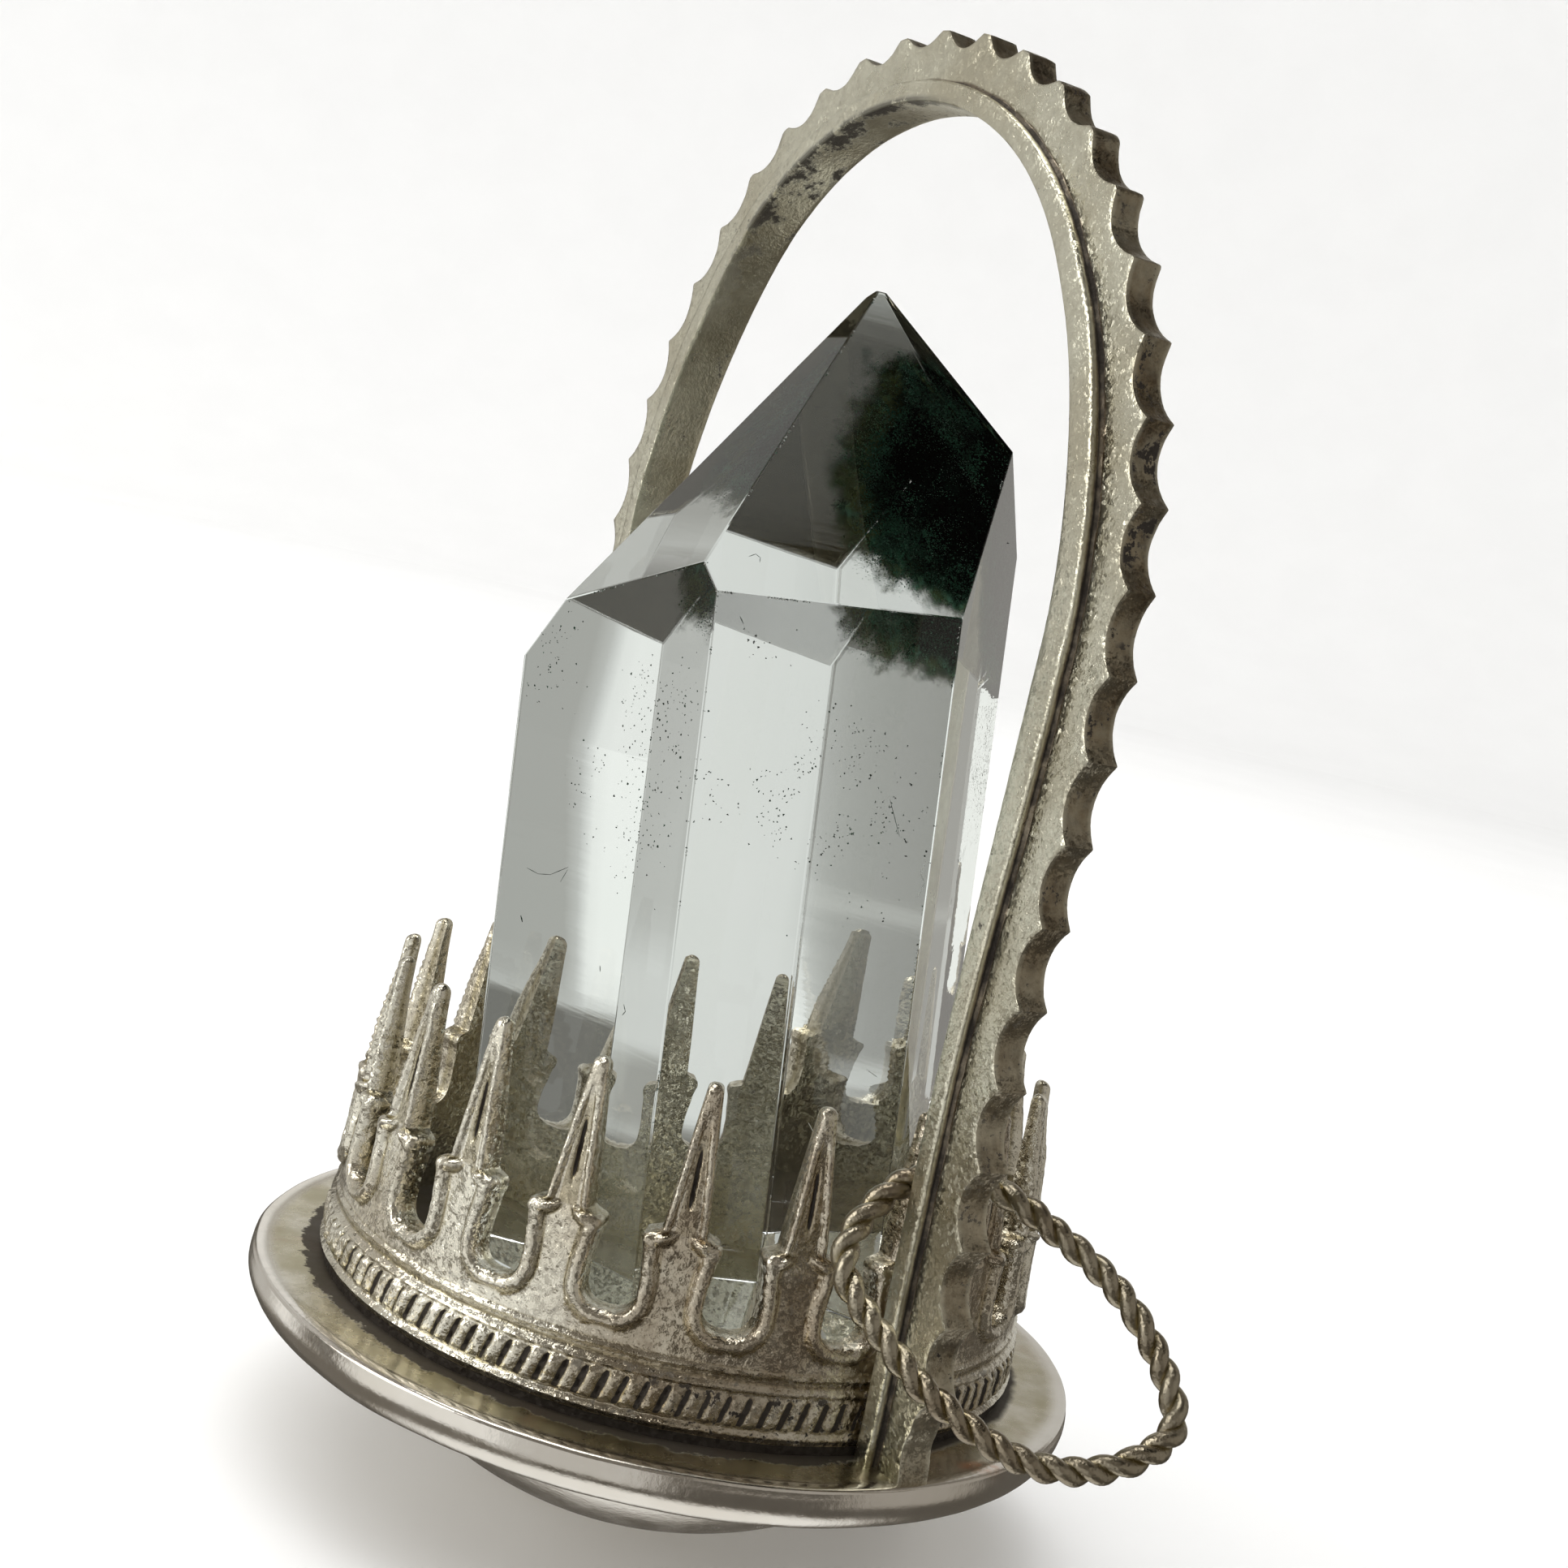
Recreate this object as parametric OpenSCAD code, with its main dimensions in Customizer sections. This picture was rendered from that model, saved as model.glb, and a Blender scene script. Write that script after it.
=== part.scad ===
// Pendant with a standing quartz point: a silver dish base, a crown gallery and a
// scalloped handle arch soldered into one setting, a faceted quartz point and a
// loose ring of twisted wire threaded round one leg of the arch.
// Lengths in mm. Origin at the middle of the flat under the dome, +Z up along the
// pendant, +X towards the leg that carries the twisted ring.

/* [Base dish] */
// outer radius of the flange
flange_r = 16; // [15.5:0.1:18]
// height of the flange's flat top above the rest face
flange_top = 7.15; // [7:0.05:8]
// thickness of the flange
flange_t = 1.75; // [1.4:0.05:2]
// radius of the sphere that the dome is part of
dome_r = 15; // [14.6:0.1:16]

/* [Crown gallery] */
// outer radius of the gallery at its foot
gallery_foot_r = 13.4; // [13.2:0.05:13.45]
// outer radius of the gallery at the spire tips
gallery_tip_r = 12.75; // [12.5:0.05:13]
// wall thickness of the gallery
gallery_t = 0.75; // [0.6:0.05:0.9]
// height of the spire tips
tip_z = 19.1; // [17:0.1:20.5]
// spires around the gallery
spires = 20; // [20:20:20]
// width of each U opening
opening_w = 1.85; // [1.6:0.05:2]
// height of the lowest point of each U opening
opening_z = 10.9; // [10.6:0.1:11.4]
// height of the shoulders where each spire springs
shoulder_z = 13.9; // [13.4:0.1:14.6]
// width of a spire at its root
spire_root_w = 1.5; // [1.3:0.05:1.7]
// width of a spire at its tip
spire_tip_w = 0.45; // [0.35:0.05:0.6]

/* [Handle arch] */
// inner radius of the arch's crown
crown_r = 12.9; // [12.7:0.1:13.1]
// inner height of the arch's top
arch_inner_z = 53.2; // [51:0.1:55]
// width of the inner band
band_w = 2.14; // [1.9:0.02:2.3]
// thickness of the inner band
band_t = 0.78; // [0.6:0.02:0.9]
// width of the scalloped strip
strip_w = 1.22; // [1:0.02:1.5]
// height of the strip's cusps over the band's inner face
cusp_t = 2.77; // [2.6:0.01:2.85]
// distance from cusp to cusp
scallop_pitch = 2.715; // [2.6:0.005:2.8]
// radius of the cutter that makes a scallop
scallop_r = 1.73; // [1.6:0.01:2]

/* [Quartz point] */
// lean of the prism from upright
crystal_lean = 5.95; // [0:0.05:6.5]
// height of the blunt tip
crystal_top = 46.7; // [45.5:0.1:46.8]

/* [Twisted ring] */
// thickness of the twisted wire
wire_d = 0.86; // [0.7:0.02:0.9]

/* [Hidden] */

// the arch's inner face, right half: crown arc, shoulder arc, straight run, leg arc
crown_half = 55;
shoulder_r = 21.7;
crown_z = arch_inner_z - crown_r;
shoulder_x = (crown_r - shoulder_r) * sin(crown_half);
shoulder_cz = crown_z + (crown_r - shoulder_r) * cos(crown_half);
leg_x = shoulder_x + shoulder_r;
leg_r = 105;
leg_bend_z = 21.3;
leg_angle = asin((leg_bend_z - flange_top + 0.45) / (leg_r + 1.2));

// length along the line of the cusps at the end of each run
run_1 = (crown_r + cusp_t) * crown_half * PI / 180;
run_2 = run_1 + (shoulder_r + cusp_t) * (90 - crown_half) * PI / 180;
run_3 = run_2 + shoulder_cz - leg_bend_z;
first_cusp = 0.41;
scallop_rise = sqrt(scallop_r * scallop_r - scallop_pitch * scallop_pitch / 4);

// point in the arch's plane at length s from the top along the line of the cusps,
// t away from the inner face, for s >= 0
function arch_right(s, t) =
  s < run_1
    ? let (a = 90 - s / (crown_r + cusp_t) * 180 / PI)
      [(crown_r + t) * cos(a), crown_z + (crown_r + t) * sin(a)]
  : s < run_2
    ? let (a = 90 - crown_half - (s - run_1) / (shoulder_r + cusp_t) * 180 / PI)
      [shoulder_x + (shoulder_r + t) * cos(a), shoulder_cz + (shoulder_r + t) * sin(a)]
  : s < run_3
    ? [leg_x + t, shoulder_cz - (s - run_2)]
  : let (a = -(s - run_3) / (leg_r + cusp_t) * 180 / PI)
    [leg_x - leg_r + (leg_r + t) * cos(a), leg_bend_z + (leg_r + t) * sin(a)];
function arch_point(s, t) =
  s < 0 ? [-arch_right(-s, t)[0], arch_right(-s, t)[1]] : arch_right(s, t);

module base_dish() {
  bottom = flange_top - flange_t;
  dome_z = sqrt(dome_r * dome_r - 4.83 * 4.83);
  // flange with a rounded outer edge
  translate([0, 0, bottom])
    rotate_extrude($fn = 180)
      union() {
        square([flange_r - 1.24, flange_t]);
        translate([flange_r - 1.24, 0]) intersection() {
          translate([0, 1.24]) circle(r = 1.24, $fn = 96);
          square([2, 1.24]);
        }
        translate([flange_r - 1.3, 1.2]) polygon([[0, 0], [1.3, 0], [1.2, flange_t - 1.26], [1.1, flange_t - 1.2], [0, flange_t - 1.2]]);
      }
  // dome beneath, cut flat to stand on
  intersection() {
    translate([0, 0, dome_z]) sphere(r = dome_r, $fn = 180);
    cylinder(r = 14, h = bottom + 0.4, $fn = 180);
  }
}

module gallery_wall() {
  z0 = flange_top - 0.2;
  z1 = flange_top + 2.35;
  rotate_extrude($fn = 180)
    polygon([
      [gallery_foot_r - gallery_t - 0.1, z0],
      [gallery_foot_r, z0],
      [gallery_foot_r + 0.1, z0 + 0.5],
      [gallery_foot_r + 0.1, z1 - 0.2],
      [gallery_foot_r - 0.08, z1],
      [gallery_foot_r - 0.09, z1 + 0.12],
      [gallery_foot_r + 0.06, z1 + 0.2],
      [gallery_foot_r + 0.06, z1 + 0.38],
      [gallery_foot_r - 0.12, z1 + 0.48],
      [gallery_tip_r, tip_z],
      [gallery_tip_r - gallery_t, tip_z]
    ]);
}

module gallery_cutter() {
  pitch = 2 * PI * gallery_tip_r / spires;
  half = opening_w / 2;
  rotate([90, 0, 0])
    linear_extrude(height = 40, center = true)
      union() {
        translate([0, opening_z + half]) circle(r = half, $fn = 60);
        polygon([
          [-half, opening_z + half], [half, opening_z + half],
          [half, shoulder_z - 0.15], [half + 0.1, shoulder_z],
          [(pitch - spire_root_w) / 2, shoulder_z + 0.2],
          [(pitch - spire_tip_w) / 2, tip_z - 0.2],
          [(pitch - spire_tip_w) / 2 + 0.1, tip_z + 1],
          [-(pitch - spire_tip_w) / 2 - 0.1, tip_z + 1],
          [-(pitch - spire_tip_w) / 2, tip_z - 0.2],
          [-(pitch - spire_root_w) / 2, shoulder_z + 0.2],
          [-half - 0.1, shoulder_z], [-half, shoulder_z - 0.15]
        ]);
      }
}

module crown_gallery() {
  difference() {
    gallery_wall();
    for (i = [0 : spires / 2 - 1])
      rotate([0, 0, 85 + i * 360 / spires]) gallery_cutter();
  }
}

// stations along the arch from the left foot to the right foot: a short step on the
// crown and the shoulders, where the arch bends, a longer one down the legs
leg_run = (leg_r + cusp_t) * leg_angle * PI / 180;
half_steps = concat(
  [for (k = [0 : 13]) run_1 * k / 14],
  [for (k = [0 : 7]) run_1 + (run_2 - run_1) * k / 8],
  [for (k = [0 : 1]) run_2 + (run_3 - run_2) * k / 2],
  [for (k = [0 : 4]) run_3 + leg_run * k / 4]
);
last_step = len(half_steps) - 1;
all_steps = concat([for (k = [0 : last_step - 1]) -half_steps[last_step - k]], half_steps);

// flat band between two distances from the arch's inner face
module arch_band(t0, t1) {
  n = len(all_steps) - 1;
  polygon(concat(
    [for (k = [0 : n]) arch_point(all_steps[k], t1)],
    [for (k = [0 : n]) arch_point(all_steps[n - k], t0)]
  ));
}

module handle_arch() {
  difference() {
    rotate([90, 0, 0]) union() {
      // wide inner band
      linear_extrude(height = band_w, center = true) arch_band(0, band_t);
      // narrow strip standing on it, its outer edge cut into scallops
      linear_extrude(height = strip_w, center = true)
        difference() {
          arch_band(band_t - 0.1, cusp_t + 0.3);
          for (i = [-22 : 21])
            translate(arch_point(first_cusp + scallop_pitch * (i + 0.5), cusp_t + scallop_rise))
              circle(r = scallop_r, $fn = 72);
        }
    }
    // the feet are filed flush just inside the flange's edge
    difference() {
      translate([0, 0, flange_top - 1.7]) cylinder(r = 22, h = 3.6, $fn = 90);
      translate([0, 0, flange_top - 2.7]) cylinder(r = flange_r - 0.35, h = 5.6, $fn = 180);
    }
  }
}

module silver_setting() {
  color([0.72, 0.69, 0.63])
    union() {
      base_dish();
      crown_gallery();
      handle_arch();
    }
}

// half space that cuts one face of the quartz's point
module face_cut(azimuth, slope, p) {
  translate(p) rotate([0, slope, azimuth]) translate([-40, -40, 0]) cube([80, 80, 40]);
}

module quartz_point() {
  color([0.86, 0.88, 0.86, 0.5])
    difference() {
      translate([0.52, 0.85, flange_top + 0.15])
        rotate(a = crystal_lean, v = [0.068, -0.079, 0])
          translate([0, 0, -3])
            linear_extrude(height = 48)
              polygon([[6.56, -6.46], [8.65, 2.37], [2.36, 9.18], [-7.07, 4.92], [-8.94, -2.44], [-2.35, -9.13]]);
      // seat on the flange, a hair above it
      translate([-30, -30, -30 + flange_top + 0.03]) cube([60, 60, 30]);
      // front, left, steep left back, steep back, far right and right faces
      face_cut(-17.2, 51.5, [-2.6, 1.0, 46.8]);
      face_cut(-91.4, 52.9, [-2.6, 1.0, 46.8]);
      face_cut(-129.2, 61.3, [-2.05, -9.52, 32.92]);
      face_cut(161.3, 66.1, [-2.6, 1.0, 46.8]);
      face_cut(122, 52, [-2.6, 1.1, 46.8]);
      face_cut(87.7, 51.5, [-2.6, 1.1, 46.8]);
      // blunt tip
      translate([-30, -30, crystal_top]) cube([60, 60, 20]);
    }
}

// route of the ring's wire: behind the leg at the first rows, then down the far
// side, round the bottom, past the leg's outer face and up the near side
ring_route = [
  [13.65, -0.1, 17.15], [13.68, 0.8, 17.25], [13.9, 1.9, 17.25], [14.5, 2.65, 17.15],
  [15.3, 3.25, 16.95], [16.1, 4.0, 16.45], [17.0, 5.0, 15.8], [17.9, 5.8, 15.1],
  [18.7, 6.4, 14.3], [19.5, 6.85, 13.4], [20.2, 7.05, 12.6], [20.8, 7.05, 11.8],
  [21.1, 6.6, 11.2], [21.1, 5.7, 10.65], [20.9, 4.6, 10.2], [20.5, 3.4, 9.95],
  [20.0, 2.3, 9.95], [19.4, 1.3, 10.2], [18.7, 0.4, 10.65], [18.0, -0.4, 11.15],
  [17.3, -1.1, 11.65], [16.5, -1.7, 12.35], [15.7, -2.3, 13.1], [15.0, -2.75, 13.8],
  [14.45, -2.85, 14.5], [14.1, -2.6, 15.1], [13.85, -2.1, 15.75], [13.7, -1.4, 16.4],
  [13.65, -0.75, 16.9]
];

module twisted_ring() {
  n = len(ring_route);
  color([0.66, 0.63, 0.58])
    union() {
      for (i = [0 : n - 1])
        hull() {
          translate(ring_route[i]) sphere(d = wire_d, $fn = 14);
          translate(ring_route[(i + 1) % n]) sphere(d = wire_d, $fn = 14);
        }
    }
}

silver_setting();
quartz_point();
twisted_ring();
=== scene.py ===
import math

import bmesh
import bpy
import numpy as np
from mathutils import Matrix, Vector


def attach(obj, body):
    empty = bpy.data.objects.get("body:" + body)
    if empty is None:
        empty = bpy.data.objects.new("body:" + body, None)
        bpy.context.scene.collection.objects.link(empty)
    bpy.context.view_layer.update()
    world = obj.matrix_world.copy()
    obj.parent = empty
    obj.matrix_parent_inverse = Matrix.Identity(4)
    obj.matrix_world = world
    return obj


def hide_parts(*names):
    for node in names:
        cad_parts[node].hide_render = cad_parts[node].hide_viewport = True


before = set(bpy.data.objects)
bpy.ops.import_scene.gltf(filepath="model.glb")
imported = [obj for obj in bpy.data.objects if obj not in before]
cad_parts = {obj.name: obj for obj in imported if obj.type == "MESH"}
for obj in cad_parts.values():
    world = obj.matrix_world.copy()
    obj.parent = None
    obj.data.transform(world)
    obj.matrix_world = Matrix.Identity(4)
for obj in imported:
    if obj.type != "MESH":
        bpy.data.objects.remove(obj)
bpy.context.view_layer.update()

# All geometry is worked out in millimetres in the part's frame and scaled to metres
# when a mesh is made. Z is up along the pendant, the ring hangs on the leg at +X.
MM = 0.001

# ---------------------------------------------------------------- sizes (mm)
FLANGE_R = 16.0
FLANGE_TOP = 7.15
FLANGE_T = 1.75
DOME_R = 15.0
GAL_FOOT_R = 13.4
GAL_TIP_R = 12.75
GAL_T = 0.75
TIP_Z = 19.1
SPIRES = 20
SPIRE_0 = 4.0
OPEN_R = 0.925
OPEN_Z = 10.9
CROWN_R = 12.9
ARCH_Z = 53.2
BAND_W = 2.14
BAND_T = 0.78
STRIP_W = 1.22
CUSP_T = 2.77
PITCH = 2.715
SCALLOP_R = 1.73
FIRST_CUSP = 0.41
WIRE_D = 0.86


# ---------------------------------------------------------------- small maths
def smooth(a, b, x):
    t = np.clip((np.asarray(x, float) - a) / (b - a), 0, 1)
    return t * t * (3 - 2 * t)


def hash01(ix, iy, iz, seed):
    m = np.int64(0xFFFFFFFF)
    h = (ix * 73856093) & m
    h ^= (iy * 19349663) & m
    h ^= (iz * 83492791) & m
    h ^= (np.int64(seed) * 2654435) & m
    h = (h * 1103515245 + 12345) & m
    h ^= h >> 13
    h = (h * 1274126177) & m
    h ^= h >> 16
    return (h & 0xFFFFF) / float(0xFFFFF)


def vnoise(P, freq, seed=0):
    """Smooth value noise in 0..1 at points P (n, 3), in cycles per mm."""
    Q = np.asarray(P, float) * freq
    i = np.floor(Q).astype(np.int64)
    f = Q - i
    f = f * f * (3 - 2 * f)
    out = np.zeros(len(Q))
    for dx in (0, 1):
        wx = f[:, 0] if dx else 1 - f[:, 0]
        for dy in (0, 1):
            wy = f[:, 1] if dy else 1 - f[:, 1]
            for dz in (0, 1):
                wz = f[:, 2] if dz else 1 - f[:, 2]
                out += wx * wy * wz * hash01(i[:, 0] + dx, i[:, 1] + dy, i[:, 2] + dz, seed)
    return out


def fnoise(P, freq, seed=0, octaves=3):
    """Fractal value noise, about -1..1."""
    out = np.zeros(len(P))
    amp, tot = 1.0, 0.0
    for k in range(octaves):
        out += amp * (vnoise(P, freq * 2**k, seed + 17 * k) * 2 - 1)
        tot += amp
        amp *= 0.5
    return out / tot


def make_mesh(name, verts, faces, material, attrs=None, sharp=None, merge=None):
    """Closed mesh from millimetre vertices and faces (lists or arrays of quads and triangles)."""
    me = bpy.data.meshes.new(name)
    V = np.asarray(verts, float) * MM
    loops = []
    starts = []
    total = 0
    for f in faces:
        f = np.asarray(f, np.int64)
        if f.size == 0:
            continue
        if f.ndim == 1:
            f = f[None, :]
        n, k = f.shape
        loops.append(f.ravel())
        starts.append(total + np.arange(n) * k)
        total += n * k
    loops = np.concatenate(loops)
    starts = np.concatenate(starts)
    me.vertices.add(len(V))
    me.vertices.foreach_set("co", V.ravel())
    me.loops.add(len(loops))
    me.loops.foreach_set("vertex_index", loops.astype(np.int32))
    me.polygons.add(len(starts))
    me.polygons.foreach_set("loop_start", starts.astype(np.int32))
    if attrs:
        for key, val in attrs.items():
            a = me.attributes.new(key, "FLOAT", "POINT")
            a.data.foreach_set("value", np.asarray(val, np.float32))
    me.update(calc_edges=True)
    me.validate()
    if merge:
        bm = bmesh.new()
        bm.from_mesh(me)
        bmesh.ops.remove_doubles(bm, verts=bm.verts, dist=merge * MM)
        bmesh.ops.dissolve_degenerate(bm, dist=1e-8, edges=bm.edges)
        bmesh.ops.recalc_face_normals(bm, faces=bm.faces)
        bm.to_mesh(me)
        bm.free()
    me.polygons.foreach_set("use_smooth", [True] * len(me.polygons))
    if sharp:
        me.set_sharp_from_angle(angle=math.radians(sharp))
    me.update()
    o = bpy.data.objects.new(name, me)
    bpy.context.scene.collection.objects.link(o)
    if material:
        me.materials.append(material)
    return o


def grid_faces(rows, cols, base=0, wrap=False, flip=False):
    """Quads between rows of a grid stored row by row."""
    r = np.arange(rows - 1)[:, None]
    c = np.arange(cols if wrap else cols - 1)[None, :]
    c2 = (c + 1) % cols
    a = base + r * cols + c
    b = base + r * cols + c2
    d = base + (r + 1) * cols + c
    e = base + (r + 1) * cols + c2
    q = np.stack([a, b, e, d], -1).reshape(-1, 4)
    return q[:, ::-1] if flip else q


# ---------------------------------------------------------------- node helper
class Mat:
    def __init__(self, name):
        self.m = bpy.data.materials.new(name)
        self.m.use_nodes = True
        self.t = self.m.node_tree
        self.t.nodes.clear()
        self.out = self.t.nodes.new("ShaderNodeOutputMaterial")
        self.co = self.t.nodes.new("ShaderNodeTexCoord").outputs["Object"]

    def node(self, kind, **props):
        n = self.t.nodes.new(kind)
        for k, v in props.items():
            setattr(n, k, v)
        return n

    def link(self, a, b):
        self.t.links.new(a, b)

    def put(self, sock, v):
        if isinstance(v, bpy.types.NodeSocket):
            self.link(v, sock)
        elif v is not None:
            sock.default_value = v

    def math(self, op, a, b=None, c=None, clamp=False):
        n = self.node("ShaderNodeMath", operation=op, use_clamp=clamp)
        self.put(n.inputs[0], a)
        if b is not None:
            self.put(n.inputs[1], b)
        if c is not None:
            self.put(n.inputs[2], c)
        return n.outputs[0]

    def noise(self, scale, detail=4.0, rough=0.55, dist=0.0, vec=None, w=None, kind="FBM"):
        n = self.node("ShaderNodeTexNoise", noise_dimensions="4D" if w is not None else "3D")
        self.put(n.inputs["Vector"], vec if vec is not None else self.co)
        if w is not None:
            n.inputs["W"].default_value = w
        n.inputs["Scale"].default_value = scale
        n.inputs["Detail"].default_value = detail
        n.inputs["Roughness"].default_value = rough
        n.inputs["Distortion"].default_value = dist
        return n.outputs["Fac"]

    def voronoi(self, scale, vec=None, feature="F1", rnd=1.0):
        n = self.node("ShaderNodeTexVoronoi", feature=feature)
        self.put(n.inputs["Vector"], vec if vec is not None else self.co)
        n.inputs["Scale"].default_value = scale
        n.inputs["Randomness"].default_value = rnd
        return n.outputs["Distance"]

    def ramp(self, fac, stops, interp="LINEAR"):
        n = self.node("ShaderNodeValToRGB")
        cr = n.color_ramp
        cr.interpolation = interp
        while len(cr.elements) > 1:
            cr.elements.remove(cr.elements[-1])
        for k, (p, c) in enumerate(stops):
            e = cr.elements[0] if k == 0 else cr.elements.new(p)
            e.position = p
            e.color = (c, c, c, 1) if isinstance(c, (int, float)) else (*c, 1)
        self.put(n.inputs[0], fac)
        return n.outputs[0]

    def rng(self, v, a, b, c=0.0, d=1.0, smoothed=True):
        n = self.node("ShaderNodeMapRange", interpolation_type="SMOOTHSTEP" if smoothed else "LINEAR")
        self.put(n.inputs["Value"], v)
        n.inputs["From Min"].default_value = a
        n.inputs["From Max"].default_value = b
        n.inputs["To Min"].default_value = c
        n.inputs["To Max"].default_value = d
        return n.outputs["Result"]

    def mix(self, fac, a, b, mode="MIX"):
        n = self.node("ShaderNodeMix", data_type="RGBA", blend_type=mode)
        self.put(n.inputs["Factor"], fac)
        ia = [s for s in n.inputs if s.name == "A" and s.type == "RGBA"][0]
        ib = [s for s in n.inputs if s.name == "B" and s.type == "RGBA"][0]
        self.put(ia, a if isinstance(a, bpy.types.NodeSocket) else (*a, 1))
        self.put(ib, b if isinstance(b, bpy.types.NodeSocket) else (*b, 1))
        return [s for s in n.outputs if s.type == "RGBA"][0]

    def attr(self, name):
        n = self.node("ShaderNodeAttribute", attribute_type="GEOMETRY", attribute_name=name)
        return n.outputs["Fac"]

    def xyz(self, vec=None):
        n = self.node("ShaderNodeSeparateXYZ")
        self.put(n.inputs[0], vec if vec is not None else self.co)
        return n.outputs

    def mapping(self, scale=(1, 1, 1), loc=(0, 0, 0), rot=(0, 0, 0), vec=None):
        n = self.node("ShaderNodeMapping")
        self.put(n.inputs["Vector"], vec if vec is not None else self.co)
        n.inputs["Scale"].default_value = scale
        n.inputs["Location"].default_value = loc
        n.inputs["Rotation"].default_value = rot
        return n.outputs[0]

    def blob(self, centre_mm, radius_mm, scale=(1, 1, 1)):
        """1 inside a soft ellipsoid round a point, 0 outside."""
        n = self.node("ShaderNodeVectorMath", operation="SUBTRACT")
        self.put(n.inputs[0], self.co)
        n.inputs[1].default_value = tuple(c * MM for c in centre_mm)
        m = self.node("ShaderNodeVectorMath", operation="MULTIPLY")
        self.put(m.inputs[0], n.outputs[0])
        m.inputs[1].default_value = scale
        l = self.node("ShaderNodeVectorMath", operation="LENGTH")
        self.put(l.inputs[0], m.outputs[0])
        return self.rng(l.outputs["Value"], radius_mm * MM, 0.0)

    def bump(self, height, strength, dist_mm, normal=None):
        n = self.node("ShaderNodeBump")
        n.inputs["Strength"].default_value = strength
        n.inputs["Distance"].default_value = dist_mm * MM
        self.put(n.inputs["Height"], height)
        if normal is not None:
            self.put(n.inputs["Normal"], normal)
        return n.outputs[0]

    def grains(self, normal, scale, amount):
        """Normal tipped a random way in each small cell."""
        v = self.node("ShaderNodeTexVoronoi", feature="F1")
        self.put(v.inputs["Vector"], self.co)
        v.inputs["Scale"].default_value = scale
        a = self.node("ShaderNodeVectorMath", operation="SUBTRACT")
        self.put(a.inputs[0], v.outputs["Color"])
        a.inputs[1].default_value = (0.5, 0.5, 0.5)
        b = self.node("ShaderNodeVectorMath", operation="SCALE")
        self.put(b.inputs[0], a.outputs[0])
        self.put(b.inputs["Scale"], amount)
        c = self.node("ShaderNodeVectorMath", operation="ADD")
        self.put(c.inputs[0], normal)
        self.put(c.inputs[1], b.outputs[0])
        d = self.node("ShaderNodeVectorMath", operation="NORMALIZE")
        self.put(d.inputs[0], c.outputs[0])
        return d.outputs[0]

    def principled(self, **kw):
        n = self.node("ShaderNodeBsdfPrincipled")
        for k, v in kw.items():
            name = k.replace("_", " ")
            self.put(n.inputs[name], (*v, 1) if isinstance(v, tuple) and len(v) == 3 and n.inputs[name].type == "RGBA" else v)
        self.link(n.outputs[0], self.out.inputs["Surface"])
        return n


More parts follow.
